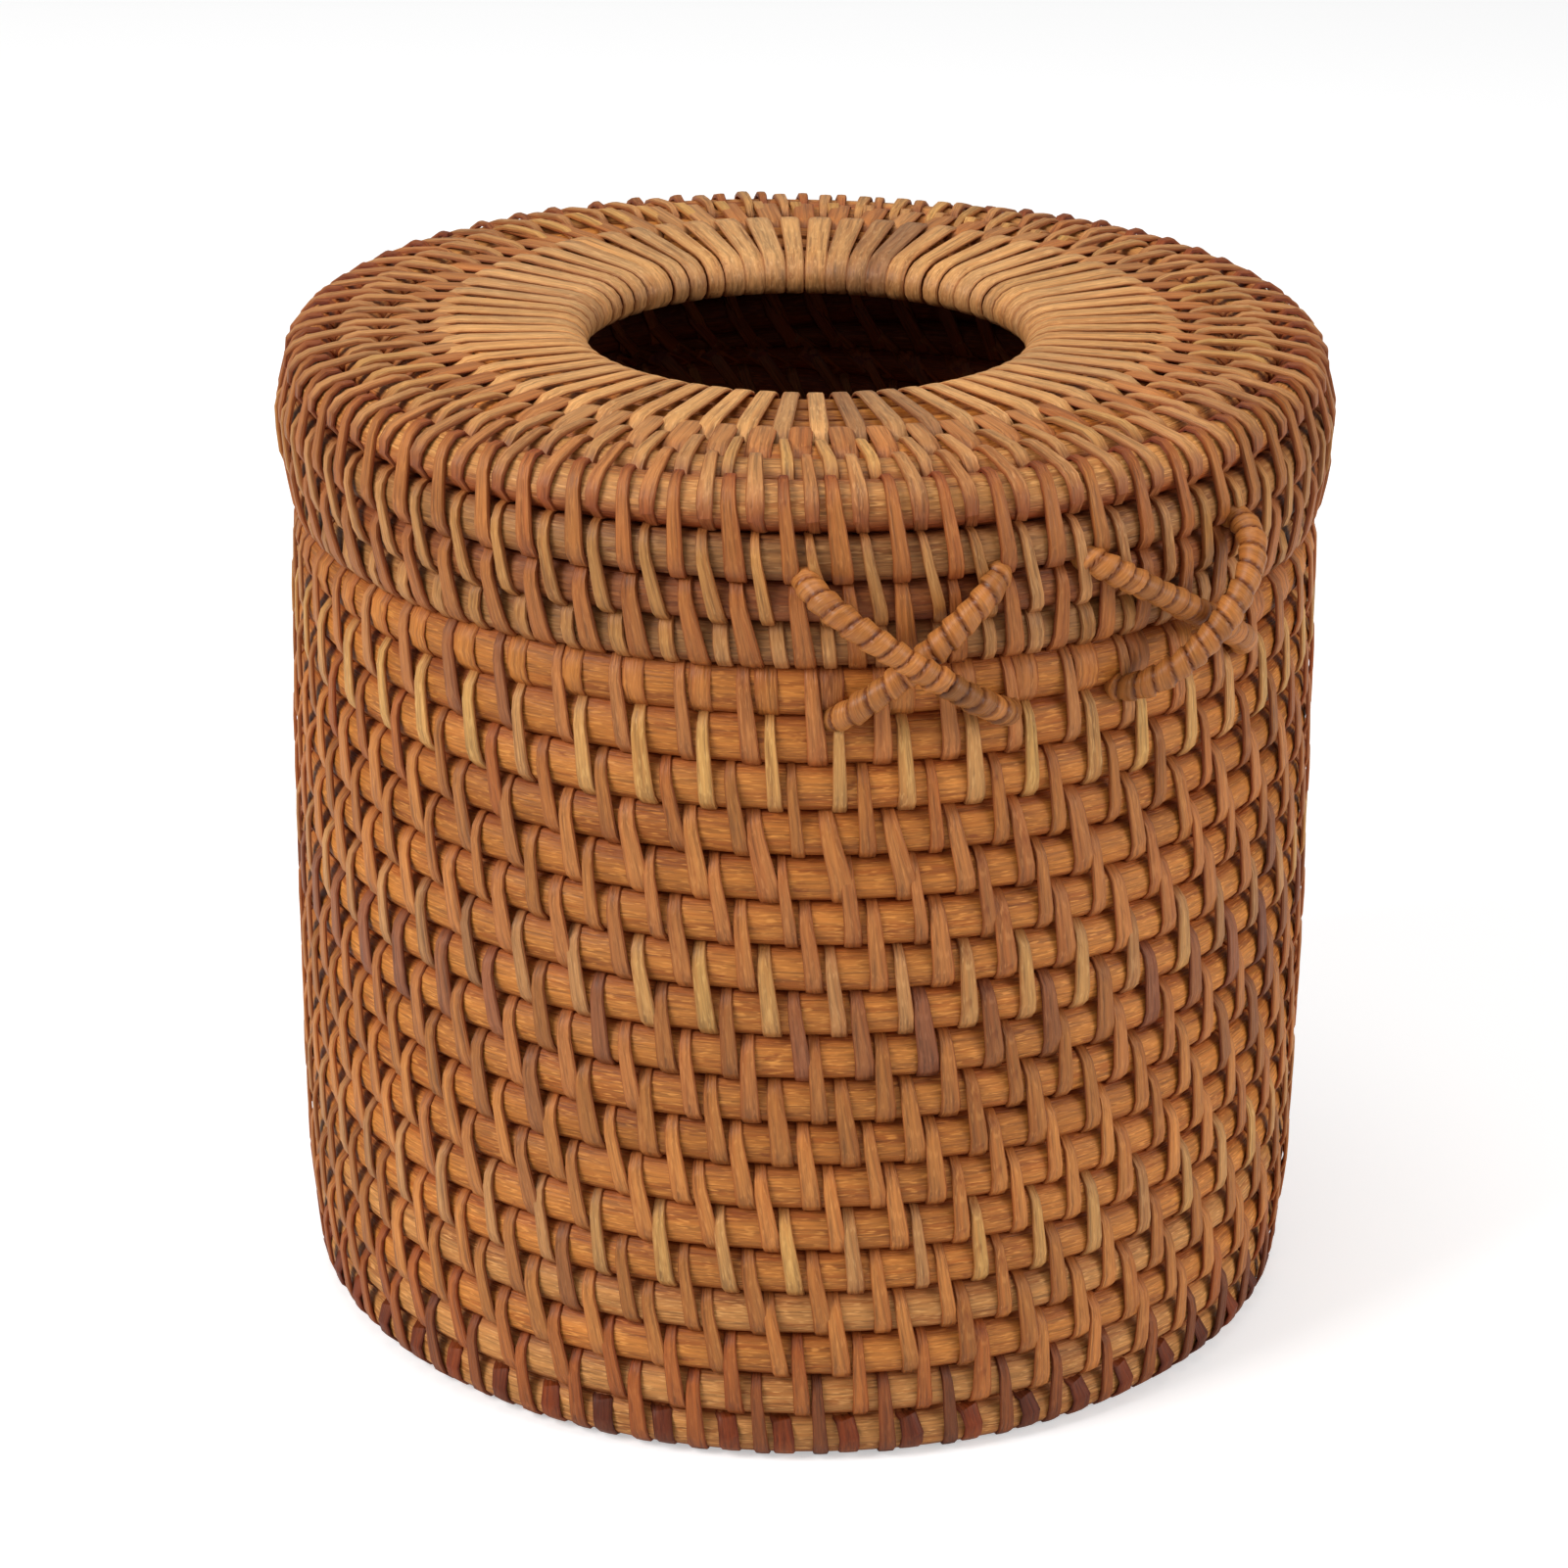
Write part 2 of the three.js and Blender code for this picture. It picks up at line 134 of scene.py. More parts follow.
TONES = {
    "golden": linear("c37a34"),
    "amber": linear("b8702c"),
    "sand": linear("c58748"),
    "ash": linear("a06c3a"),
    "rust": linear("955629"),
    "tan": linear("c27c3c"),
    "straw": linear("ca9652"),
    "ochre": linear("b37c41"),
    "brown": linear("a86930"),
    "umber": linear("a8642f"),
    "plum": linear("925735"),
    "russet": linear("a65b26"),
    "rose": linear("b36f38"),
    "grey": linear("bc844e"),
    "dark": linear("743f20"),
    "honey": linear("d39a5c"),
    "pale": linear("c7955f"),
    "stain": linear("693a26"),
    "cord": linear("ad6c33"),
}


def smooth(share):
    share = np.clip(share, 0, 1)
    return share * share * (3 - 2 * share)


def polar(radius, angle, height):
    """Points at an angle from the front, in degrees towards +X."""
    radius, angle, height = np.broadcast_arrays(radius, np.radians(angle), height)
    return np.stack([radius * np.sin(angle), -radius * np.cos(angle), height], axis=-1)


# Windings, as on the solids


class Winding:
    """A rod wound in courses along a profile, which gives radius, height and the way out."""

    def __init__(self, cane, pitch, count, profile, fullness, wobble=WOBBLE):
        self.cane = cane
        self.pitch = pitch
        self.count = count
        self.profile = profile
        self.fullness = fullness
        self.wobble = wobble

    def stepped(self, turns):
        whole = np.floor(turns)
        return whole + smooth((turns - whole - (1 - STEP_SHARE)) / STEP_SHARE)

    def along(self, turns):
        """The rod's place along the profile, and its height there."""
        gap = self.pitch - self.cane
        steps = self.stepped(turns)
        place = steps * self.pitch
        height = np.full_like(place, self.cane)
        early = turns < 0
        late = turns > self.count - STEP_SHARE
        height = np.where(early, (steps + 1) * self.pitch - gap, height)
        place = np.where(early, (height - self.cane) / 2, place)
        height = np.where(late, (self.count - steps) * self.pitch - gap, height)
        place = np.where(late, (self.count - 1) * self.pitch + (self.cane - height) / 2, place)
        waves = sum(np.sin(turns * rate + phase) for rate, phase in WOBBLE_WAVES)
        return place + self.wobble * waves / 2, height

    def middle(self, turns):
        """The rod's middle as [radius, height], the way out, and its half sizes [upwards, outwards]."""
        place, height = self.along(turns)
        radius, level, out = self.profile(place)
        fuller = (self.fullness(self.stepped(turns)) - 1) * self.cane / 2
        half = np.stack([height / 2 + fuller, (height + self.cane) / 4], axis=-1)
        return np.stack([radius, level], axis=-1), out, half


def spaced(length, cane):
    spans = math.floor(length / (cane + LEAST_COURSE_GAP) + 1e-6)
    return length / spans, spans + 1


# Where the rods run, worked out from the sizes as on the solids
FLOOR_CANE_Z = STRIP_THICKNESS + CLEARANCE + BODY_CANE / 2
RIM_CANE_Z = BODY_HEIGHT - STRIP_THICKNESS - CLEARANCE - BODY_CANE / 2
LID_FOOT_Z = BODY_HEIGHT + CLEARANCE
LID_EDGE_CANE_Z = LID_FOOT_Z + STRIP_THICKNESS + CLEARANCE + LID_CANE / 2
LID_TOP_CANE_Z = LID_FOOT_Z + LID_HEIGHT - STRIP_THICKNESS - LID_CANE / 2
LID_CANE_RADIUS = LID_RADIUS - STRIP_THICKNESS - LID_CANE / 2
LID_CORNER = 1.2 * LID_CANE
HUB_RADIUS = HOLE_RADIUS + HUB_WIDTH
HUB_CANE_Z = LID_TOP_CANE_Z + LID_CANE / 2 - HUB_CANE / 2
HUB_HALF_HEIGHT = HUB_CANE / 2 + CLEARANCE + STRIP_THICKNESS


def outwards(rise, shape):
    """The way out of a wall (rise 0) or of a top (rise 1)."""
    return np.broadcast_to(np.array([1.0 - rise, float(rise)]), shape + (2,))


def wall_radius(height):
    share = np.clip(height / BODY_HEIGHT, 0, 1)
    outside = FOOT_RADIUS + (RIM_RADIUS - FOOT_RADIUS) * share + 4 * WALL_BELLY * share * (1 - share)
    return outside - STRIP_THICKNESS - BODY_CANE / 2


def wall_profile(place):
    level = FLOOR_CANE_Z + place
    inset = FOOT_INSET * (1 - smooth(place / FOOT_INSET_REACH))
    lifted = level + RIM_LIFT * smooth((level - RIM_CANE_Z) / RIM_LIFT_REACH + 1)
    return wall_radius(level) - inset, lifted, outwards(0, place.shape)


def wall_fullness(steps):
    return WALL_FULLNESS + RIM_FULLNESS * smooth((steps - RIM_FULLER_FROM) / RIM_FULLER_COURSES)


BESIDE_HUB = HUB_RADIUS / math.cos(math.pi / WALL_STEPS) + CLEARANCE
LID_FLAT = LID_CANE_RADIUS - LID_CORNER - (BESIDE_HUB + LID_CANE / 2)
LID_ARC = LID_CORNER * math.pi / 2
LID_DROP = LID_TOP_CANE_Z - LID_CORNER - LID_EDGE_CANE_Z
LID_PITCH, LID_COUNT = spaced(LID_FLAT + LID_ARC + LID_DROP, LID_CANE)


def read(values, place):
    """A value between those of whole numbers, carried on in a straight line past either end."""
    values = np.array(values, dtype=float)
    inside = np.clip(place, 0, len(values) - 1)
    beyond = place - inside
    slope = np.where(beyond < 0, values[1] - values[0], values[-1] - values[-2])
    return np.interp(inside, np.arange(len(values)), values) + beyond * slope


def lid_profile(place):
    radius, level, facing = (read(column, place / LID_PITCH) for column in zip(*LID_COURSES))
    facing = np.radians(facing)
    return radius * MM, level * MM, np.stack([np.cos(facing), np.sin(facing)], axis=-1)


def lid_fullness(steps):
    return read(LID_FULLNESS, np.clip(steps, 0, len(LID_FULLNESS) - 1))


HUB_FIRST = (HOLE_RADIUS + STRIP_THICKNESS + CLEARANCE) / math.cos(math.pi / HUB_STEPS) + HUB_CANE / 2
HUB_LAST = HUB_RADIUS - CLEARANCE - HUB_CANE / 2


def hub_profile(place):
    """The hub's rods, which dip a little towards the hole."""
    dip = HUB_DIP * (1 - place / (HUB_LAST - HUB_FIRST))
    return HUB_FIRST + place, HUB_CANE_Z - dip, outwards(1, place.shape)


SLEEVE_GAP = BODY_CANE / 2 + CLEARANCE
WALL_INSIDE = (wall_radius(FLOOR_CANE_Z) - SLEEVE_GAP - STRIP_THICKNESS) * math.cos(math.pi / WALL_STEPS)
FLOOR_LAST = WALL_INSIDE - CLEARANCE - BODY_CANE / 2
FLOOR_PITCH = BODY_CANE + LEAST_COURSE_GAP
FLOOR_SPANS = math.floor((FLOOR_LAST - SMALLEST_RING) / FLOOR_PITCH)
FLOOR_FIRST = FLOOR_LAST - FLOOR_SPANS * FLOOR_PITCH


def floor_profile(place):
    return FLOOR_FIRST + place, np.full_like(place, FLOOR_CANE_Z), outwards(1, place.shape)


class FloorWinding(Winding):
    """A flat spiral whose rod is pared thin at its inner end, so that it fills the middle."""

    def along(self, turns):
        place = turns * self.pitch
        edge = FLOOR_FIRST + place + self.cane / 2
        height = np.minimum(self.cane, edge)
        return edge - height / 2 - FLOOR_FIRST, height


wall_spacing = spaced(RIM_CANE_Z - FLOOR_CANE_Z, BODY_CANE)
hub_spacing = spaced(HUB_LAST - HUB_FIRST, HUB_CANE)
wall = Winding(BODY_CANE, *wall_spacing, wall_profile, wall_fullness)
lid = Winding(LID_CANE, LID_PITCH, LID_COUNT, lid_profile, lid_fullness, wobble=LID_WOBBLE)
hub = Winding(HUB_CANE, *hub_spacing, hub_profile, lambda steps: HUB_FULLNESS, wobble=0)
floor = FloorWinding(
    BODY_CANE, FLOOR_PITCH, FLOOR_SPANS + 1, floor_profile, lambda steps: FLOOR_FULLNESS
)


# Meshes


def deselect():
    bpy.ops.object.select_all(action="DESELECT")


def rolled(name, rings, tones, smooth_angle=50):
    """A grid rolled up into a tube with closed ends, through rings of points [station, corner].

    tones gives a colour to each point. The UV map is in millimetres, round the tube and along it."""
    corners = rings.shape[1]
    spans = rings.shape[0] - 1
    deselect()
    bpy.ops.mesh.primitive_grid_add(x_subdivisions=corners, y_subdivisions=spans, size=1)
    piece = bpy.context.object
    piece.name = piece.data.name = name
    flat = np.empty(len(piece.data.vertices) * 3)
    piece.data.vertices.foreach_get("co", flat)
    share = flat.reshape(-1, 3)[:, :2] + 0.5
    corner = np.rint(share[:, 0] * corners).astype(int) % corners
    station = np.rint(share[:, 1] * spans).astype(int)
    piece.data.vertices.foreach_set("co", rings[station, corner].ravel())
    tone = piece.data.attributes.new("tone", "FLOAT_COLOR", "POINT")
    colours = np.ones((len(station), 4))
    colours[:, :3] = tones[station, corner]
    tone.data.foreach_set("color", colours.ravel())
    middle = rings.mean(axis=1)
    length = np.linalg.norm(np.diff(middle, axis=0), axis=1).sum() / MM
    girth = np.linalg.norm(rings - np.roll(rings, 1, axis=1), axis=2).sum(axis=1).mean() / MM
    layer = piece.data.uv_layers.active.data
    places = np.empty(len(layer) * 2)
    layer.foreach_get("uv", places)
    layer.foreach_set("uv", (places.reshape(-1, 2) * (girth, length)).ravel())
    bpy.ops.object.mode_set(mode="EDIT")
    bpy.ops.mesh.select_all(action="SELECT")
    bpy.ops.mesh.remove_doubles(threshold=1e-7)
    bpy.ops.mesh.fill_holes(sides=0)
    bpy.ops.mesh.select_all(action="SELECT")
    bpy.ops.mesh.normals_make_consistent(inside=False)
    bpy.ops.object.mode_set(mode="OBJECT")
    bpy.ops.object.shade_smooth_by_angle(angle=math.radians(smooth_angle))
    return piece


def finished(piece, finish, slot, body, *nodes):
    piece.data.materials.append(finish)
    if nodes:
        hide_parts(*nodes)
    if body:
        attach(piece, body)


# Rods

# How a rod's colour changes: the share of a turn in which one course's colour runs into the next, and
# each wave of its mottling, by its strength and its radians to a turn
TONE_CHANGE = 0.2
MOTTLE_WAVES = [(0.06, 19), (0.05, 47.7)]


def course_tones(turns, names, dice):
    """Colours along a rod: each course its own, running into the next where the rod steps up."""
    picks = np.array([TONES[n] for n in names])
    place = np.clip(turns, 0, len(names) - 1)
    low = np.floor(place).astype(int)
    high = np.minimum(low + 1, len(names) - 1)
    share = smooth((place - low - (1 - TONE_CHANGE)) / TONE_CHANGE)[:, None]
    phase = dice.uniform(0, 6)
    waves = enumerate(MOTTLE_WAVES, 1)
    mottle = 1 + sum(depth * np.sin(turns * rate + i * phase) for i, (depth, rate) in waves)
    return (picks[low] * (1 - share) + picks[high] * share) * mottle[:, None]


# Painted shade darkens cane where it lies against its neighbours, and almost as much on its inside
PAINTED_SHADE_TONE = np.array([0.5, 0.2, 0.11])
PAINTED_SHADE_POWER = 3
INSIDE_LESS_SHADED = 0.25

# The lobes of grown cane, as a share of its radius, which shift to and fro round the rod along its
# length, by some radians and at some radians to a turn
LOBES = 3
LOBE_DEPTH = 0.014
LOBE_SHIFT = 3
LOBE_SHIFT_RATE = 5.1


def painted_shade_share(angle):
    """Painted shade round a rod, by how far a place lies in a recess or on the inside, where 0 is
    outwards.
    """
    beside = np.abs(np.sin(angle)) ** PAINTED_SHADE_POWER
    return np.where(np.cos(angle) > 0, beside, 1 - INSIDE_LESS_SHADED * np.cos(angle) ** 2)


def squared(value, squareness=ROD_SQUARENESS):
    """Fills out a cosine or sine, so that a section made with it is fuller at its corners."""
    return np.sign(value) * np.abs(value) ** (2 / squareness)


def rod(name, winding, turns, names, sides=12, seed=1):
    """A winding's rod through the stations given, full at its corners and slightly lobed."""
    dice = random.Random(seed)
    centre, out, half = winding.middle(turns)
    angle = np.linspace(math.pi, 3 * math.pi, sides, endpoint=False)
    phase = dice.uniform(0, 6) + LOBE_SHIFT * np.sin(turns * LOBE_SHIFT_RATE)
    lobes = 1 + LOBE_DEPTH * np.sin(LOBES * angle[None, :] + phase[:, None])
    outward = squared(np.cos(angle))[None, :] * lobes * half[:, 1:]
    sideways = squared(np.sin(angle))[None, :] * lobes * half[:, :1]
    radius = centre[:, :1] + out[:, :1] * outward + out[:, 1:] * sideways
    level = centre[:, 1:] + out[:, 1:] * outward - out[:, :1] * sideways
    rings = polar(radius, (START_ANGLE + 360 * turns)[:, None], level)
    # Painted shade darkens the rod where it lies against its neighbours and on its inside
    painted_shade = painted_shade_share(angle)[None, :, None]
    tones = course_tones(turns, names, dice)[:, None, :]
    return rolled(name, rings, tones * (1 - painted_shade) + tones * PAINTED_SHADE_TONE * painted_shade)


# The share of its full height below which a rod's pared end is left out
THIN_END = 1 / 8


def rod_turns(winding, first, last, steps=96):
    """Turns of the stations between two turns, without the rod's thinnest ends."""
    turns = np.arange(round(first * steps), round(last * steps) + 1) / steps
    _, _, half = winding.middle(turns)
    return turns[half[:, 0] > THIN_END * winding.cane / 2]


# Strips

# How far apart the two rods of a stitch lie, in radii of a rod
COURSE_SPAN = 2.2
HUB_SPAN = 3


class Run:
    """The stations of one stitch, over the outside and back along the inside.

    Each station is the rod it is on (1 the top one, 0 the bottom one), the angle round the rod (90 up,
    0 outwards, -90 down, -180 inside), and the share of the strip's width and thickness there."""

    def __init__(self, outer, inner, span):
        self.stations = np.array(outer + inner, dtype=float)
        self.outer = self.progress(outer, span)
        self.inner = self.progress([outer[-1], *inner, (1, outer[0][1] - 360, 1, 1)], span)[1:-1]

    def progress(self, run, span):
        """How far along each station is, from 0 to 1."""
        lengths = [0]
        for (rod_a, turn_a, _, _), (rod_b, turn_b, _, _) in zip(run, run[1:]):
            lengths.append(abs(rod_a - rod_b) * span + math.radians(abs(turn_a - turn_b)))
        return np.cumsum(lengths) / sum(lengths)


OVER_TWO = Run(
    [
        (1, 90, 0.66, 0.8),
        (1, 58, 0.72, 1.0),
        (1, 28, 0.79, 1.0),
        (1, 0, 0.86, 1.0),
        (0.5, 0, 0.96, 1.0),
        (0, 0, 1.06, 1.0),
        (0, -30, 1.13, 1.0),
        (0, -60, 1.13, 1.0),
        (0, -90, 1.0, 0.8),
    ],
    [(0, -135, 0.95, 0.9), (0, -180, 0.9, 0.9), (1, -180, 0.9, 0.9), (1, -225, 0.8, 0.9)],
    COURSE_SPAN,
)
OVER_JOIN = Run(
    [(1, 90, 0.94, 0.8), (1, 58, 0.96, 1.0), (1, 28, 0.98, 1.0), (1, 0, 1.0, 1.0)]
    + [(0, 0, 1.0, 1.0), (0, -30, 1.0, 1.0), (0, -60, 0.98, 1.0), (0, -90, 0.94, 0.8)],
    [(0, -135, 0.95, 0.9), (0, -180, 0.9, 0.9), (1, -180, 0.9, 0.9), (1, -225, 0.9, 0.9)],
    COURSE_SPAN,
)
OVER_ONE = Run(
    [(1, 90 - 30 * i, 1.0, 1.0) for i in range(7)],
    [(1, -135, 0.95, 0.9), (1, -180, 0.95, 0.9), (1, -225, 0.95, 0.9)],
    0,
)
ROUND_HUB = Run(
    [(1, 128 - 21.4 * i, 0.98, 1.0) for i in range(7)]
    + [(0.66, 0, 1.02, 1.0), (0.33, 0, 1.06, 1.0)]
    + [(0, -30 * i, 1.1, 1.0) for i in range(4)],
    [(0, -140, 0.9, 0.9), (0, -180, 0.8, 0.9), (1, -180, 0.7, 0.9)],
    HUB_SPAN,
)
# The strip's section, as shares of its half width and of its thickness: flat, and a little crowned
SECTION = np.array(
    [(-0.96, 0.0), (-1.0, 0.5), (-0.82, 0.93), (0.0, 1.0), (0.82, 0.93), (1.0, 0.5), (0.96, 0.0)]
)
# Painted shade darkens the strip towards its edges, so that it looks rounded
EDGE_SHADE_SHARE = np.array([1.0, 0.75, 0.12, 0.0, 0.12, 0.75, 1.0])
EDGE_SHADE_TONE = np.array([0.64, 0.37, 0.25])

# How the stitches of a row differ: where they begin and how they slant, in shares of the way from one
# stitch to the next, their width as a share of it, and how far they bow off the rods, in millimetres
START_SPREAD = 0.028
SLANT_DRIFT = 0.07
SLANT_DRIFT_STITCHES = 5
SLANT_SPREAD = 0.035
WIDTH_SPREAD = 0.14
BOW = 0.12
BOW_SPREAD = 0.14
# How much of a stitch's slant falls in the middle of its way, and how far strips take on the painted
# shade of the recesses
HOOK = 0.65
STRIP_PAINTED_SHADE = 0.75


def sewn(name, courses, start, finish, per_turn, look, seed):
    """A strip wound round one or two courses from one turn to another.

    courses(turns) gives, for each station, the middle of the top rod and of the bottom rod as
    [radius, height], and the half sizes of each, [upwards, outwards]. look gives the strip's tone and
    second tone, its width and its slant. It may also give the run of a stitch, its shift along the rod,
    the strip's body, which is its thickness, how loosely it is sewn, how much painted shade it takes on
    in recesses, the angles where it is stained, how much slimmer it is in front, the way up where it
    goes round one course, and how square it goes round."""
    dice = random.Random(seed)
    run = look.get("run", OVER_TWO)
    shift = look.get("shift", 0)
    first = math.ceil(start * per_turn - 1e-6)
    last = math.floor(finish * per_turn - 1e-6)
    count = last - first + 1
    loose = look.get("loose", 1)
    tops = [first + shift + i + dice.gauss(0, START_SPREAD * loose) for i in range(count + 1)]
    tops = np.array(tops)
    slants = look["slant"] + SLANT_DRIFT * loose * drifting(count, SLANT_DRIFT_STITCHES, dice)
    slants = slants + np.array([dice.gauss(0, SLANT_SPREAD * loose) for _ in range(count)])
    widths = [dice.uniform(1 - WIDTH_SPREAD, 1 + WIDTH_SPREAD) for _ in range(count)]
    widths = look["width"] * np.array(widths)
    widths *= 1 - look.get("slimmer", 0) * np.cos(np.radians(START_ANGLE + 360 * tops[:-1] / per_turn))
    lifts = np.array([(BOW + abs(dice.gauss(0, BOW_SPREAD))) * loose * MM for _ in range(count)])
    feet = tops[:-1] + slants
    hook = (1 - HOOK) * run.outer + HOOK * smooth(run.outer)
    outer = tops[:-1, None] + slants[:, None] * hook
    inner = feet[:, None] + (tops[1:] - feet)[:, None] * smooth(run.inner)
    place = np.concatenate([outer, inner], axis=1).ravel() / per_turn
    place = np.clip(place, start, finish)
    on_top, turn, wide, thin = np.tile(run.stations, (count, 1)).T
    width = np.repeat(widths, len(run.stations)) * wide
    bow = np.concatenate([np.sin(math.pi * run.outer), np.zeros(len(run.inner))])
    lift = (lifts[:, None] * bow).ravel()[:, None]
    tones = strip_tones(look, place, len(run.stations), dice)
    # Painted shade where the strip runs into the recesses between the rods, and on its inside
    painted_shade = painted_shade_share(np.radians(turn))[:, None] * look.get("painted_shade", STRIP_PAINTED_SHADE)
    tones = tones * (1 - painted_shade) + tones * PAINTED_SHADE_TONE * painted_shade
    top, bottom, top_half, bottom_half = courses(place)
    axis = look["up"](place) if "up" in look else top - bottom
    axis = axis / np.linalg.norm(axis, axis=1, keepdims=True)
    out = np.stack([axis[:, 1], -axis[:, 0]], axis=-1)
    on_top = on_top[:, None]
    half = top_half * on_top + bottom_half * (1 - on_top) + SEAT
    sine, cosine = np.sin(np.radians(turn))[:, None], np.cos(np.radians(turn))[:, None]
    if "squareness" in look:
        sine, cosine = squared(sine, look["squareness"]), squared(cosine, look["squareness"])
    centre = top * on_top + bottom * (1 - on_top)
    flat = centre + axis * sine * half[:, :1] + out * cosine * (half[:, 1:] + lift)
    normal = axis * sine / half[:, :1] + out * cosine / half[:, 1:]
    normal = normal / np.linalg.norm(normal, axis=1, keepdims=True)
    angle = START_ANGLE + 360 * place
    path = polar(flat[:, 0], angle, flat[:, 1])
    facing = polar(normal[:, 0], angle, normal[:, 1])
    return swept(name, path, facing, width, look.get("body", STRIP_BODY) * thin, tones)


def swept(name, path, facing, width, thickness, tones):
    """A strip whose section, with its flat side facing one way, is carried along a path."""
    tangent = np.gradient(path, axis=0)
    tangent /= np.linalg.norm(tangent, axis=1, keepdims=True)
    side = np.cross(tangent, facing)
    side /= np.linalg.norm(side, axis=1, keepdims=True)
    facing = np.cross(side, tangent)
    across = SECTION[None, :, :1] * (width / 2)[:, None, None]
    over = SECTION[None, :, 1:] * thickness[:, None, None]
    rings = path[:, None, :] + side[:, None, :] * across + facing[:, None, :] * over
    # Painted shade towards the strip's edges
    edge_shade = EDGE_SHADE_SHARE[None, :, None]
    tones = tones[:, None, :] * (1 - edge_shade * (1 - EDGE_SHADE_TONE))
    return rolled(name, rings, tones, smooth_angle=40)


def drifting(count, step, dice):
    """Values from -1 to 1 that drift from one to the next every so many stations."""
    knots = np.array([dice.uniform(-1, 1) for _ in range(int(count / step) + 3)])
    place = np.arange(count) / step
    low = place.astype(int)
    share = smooth(place - low)
    return knots[low] * (1 - share) + knots[low + 1] * share


def drifts(kinds, count, size, dice):
    """The sum of drifts, each given by its strength and by the stitches from one value to the next."""
    return sum(strength * drifting(count, size * stitches, dice) for strength, stitches in kinds)


# How a strip's colour changes: towards its second colour, in brightness, and by stained lengths, which
# lie within some degrees of the middles given, or by chance where a drift passes a high value
SECOND_DRIFTS = [(0.5, 2.6), (0.5, 0.7)]
SECOND_CONTRAST = 0.9
SECOND_SHARE = 0.3
BRIGHT_DRIFTS = [(0.09, 1.1), (0.06, 0.35)]
STAIN_REACH = 10
STAIN_EDGE = 1.5
STAIN_STITCHES = 0.8
STAIN_CONTRAST = 0.8
STAIN_SHARE = 0.6
CHANCE_STAIN_FROM = 0.94
CHANCE_STAIN_EDGE = 6
STAIN_DEPTH = 0.6


def strip_tones(look, place, size, dice):
    """Colours along a strip, size stations to a stitch. They drift between two, with stained lengths."""
    base = TONES[look["tone"]]
    second = TONES[look["second"]]
    count = len(place)
    drift = drifts(SECOND_DRIFTS, count, size, dice)
    share = smooth(drift * SECOND_CONTRAST + SECOND_SHARE)[:, None]
    bright = 1 + drifts(BRIGHT_DRIFTS, count, size, dice)
    angle = place * 360 + START_ANGLE
    near = np.full(count, -1.0)
    for middle in look.get("stains", ()):
        near = np.maximum(near, 1 - np.abs((angle - middle + 180) % 360 - 180) / STAIN_REACH)
    patches = drifting(count, size * STAIN_STITCHES, dice)
    stain = smooth(near * STAIN_EDGE) * smooth(patches * STAIN_CONTRAST + STAIN_SHARE)
    chance = smooth((patches - CHANCE_STAIN_FROM) * CHANCE_STAIN_EDGE)
    stain = np.maximum(stain, chance)[:, None] * STAIN_DEPTH
    tones = (base * (1 - share) + second * share) * bright[:, None]
    return tones * (1 - stain) + TONES["stain"] * stain


def between(winding, step):
    """The two courses at a turn: the rod itself, and the one a step further on."""

    def courses(turns):
        near, _, own = winding.middle(turns)
        far, _, other = winding.middle(turns + 1)
        return (far, near, other, own) if step > 0 else (near, far, own, other)

    return courses


def around(winding):
    """One course alone."""

    def courses(turns):
        centre, _, half = winding.middle(turns)
        return centre, centre, half, half

    return courses


def upwards(winding):
    """The way up along a winding's profile, as it is seen from outside."""

    def up(turns):
        _, out, _ = winding.middle(turns)
        return np.stack([-out[:, 1], out[:, 0]], axis=-1)

    return up


# Materials


class Shade:
    """A node's output, so that shader maths reads as an expression."""

    def __init__(self, finish, socket):
        self.finish = finish
        self.socket = socket

    def maths(self, operation, other):
        return self.finish.node("ShaderNodeMath", {"operation": operation}, [self, other])

    def __add__(self, other):
        return self.maths("ADD", other)

    def __mul__(self, other):
        return self.maths("MULTIPLY", other)

    __radd__ = __add__
    __rmul__ = __mul__


class Finish:
    """A material, with one method that makes any node."""

    def __init__(self, name):
        self.material = bpy.data.materials.new(name)
        self.material.use_nodes = True
        self.tree = self.material.node_tree
        self.shader = self.tree.nodes["Principled BSDF"]

    def put(self, socket, value):
        if isinstance(value, Shade):
            self.tree.links.new(value.socket, socket)
        else:
            socket.default_value = value

    def node(self, kind, settings=None, values=(), output=0):
        """A node of a type, with its settings, and its inputs by place or by name."""
        made = self.tree.nodes.new(kind)
        for key, value in (settings or {}).items():
            setattr(made, key, value)
        pairs = values.items() if isinstance(values, dict) else enumerate(values)
        for key, value in pairs:
            self.put(made.inputs[key], value)
        return Shade(self, made.outputs[output])

    def set(self, **values):
        for key, value in values.items():
            self.put(self.shader.inputs[key.replace("_", " ")], value)

    def ramp(self, value, stops):
        shade = self.node("ShaderNodeValToRGB", None, [value])
        ramp = shade.socket.node.color_ramp
        while len(ramp.elements) < len(stops):
            ramp.elements.new(0.5)
        for element, (place, level) in zip(ramp.elements, stops):
            element.position = place
            element.color = (level, level, level, 1)
        return shade

    def mix(self, factor, a, b, blend="MIX"):
        made = self.tree.nodes.new("ShaderNodeMix")
        made.data_type = "RGBA"
        made.blend_type = blend
        self.put(made.inputs["Factor"], factor)
        self.put(made.inputs[6], a)
        self.put(made.inputs[7], b)
        return Shade(self, made.outputs[2])


# The marks on cane, each by its width and length in millimetres, where in the noise it is taken from
# and its detail
FINE_FIBRES = (0.3, 9, 0.5, 3.0)
BROAD_STREAKS = (1.3, 24, 7.3, 2.0)
LIGHT_DASHES = (0.3, 2.4, 13.1, 1.0)
SMUDGES = (1.4, 5, 21.7, 3.0)
# How the marks colour cane, and how many clouds of paler and darker cane there are to a metre
STREAK_TONE = (0.68, 0.5, 0.36, 1)
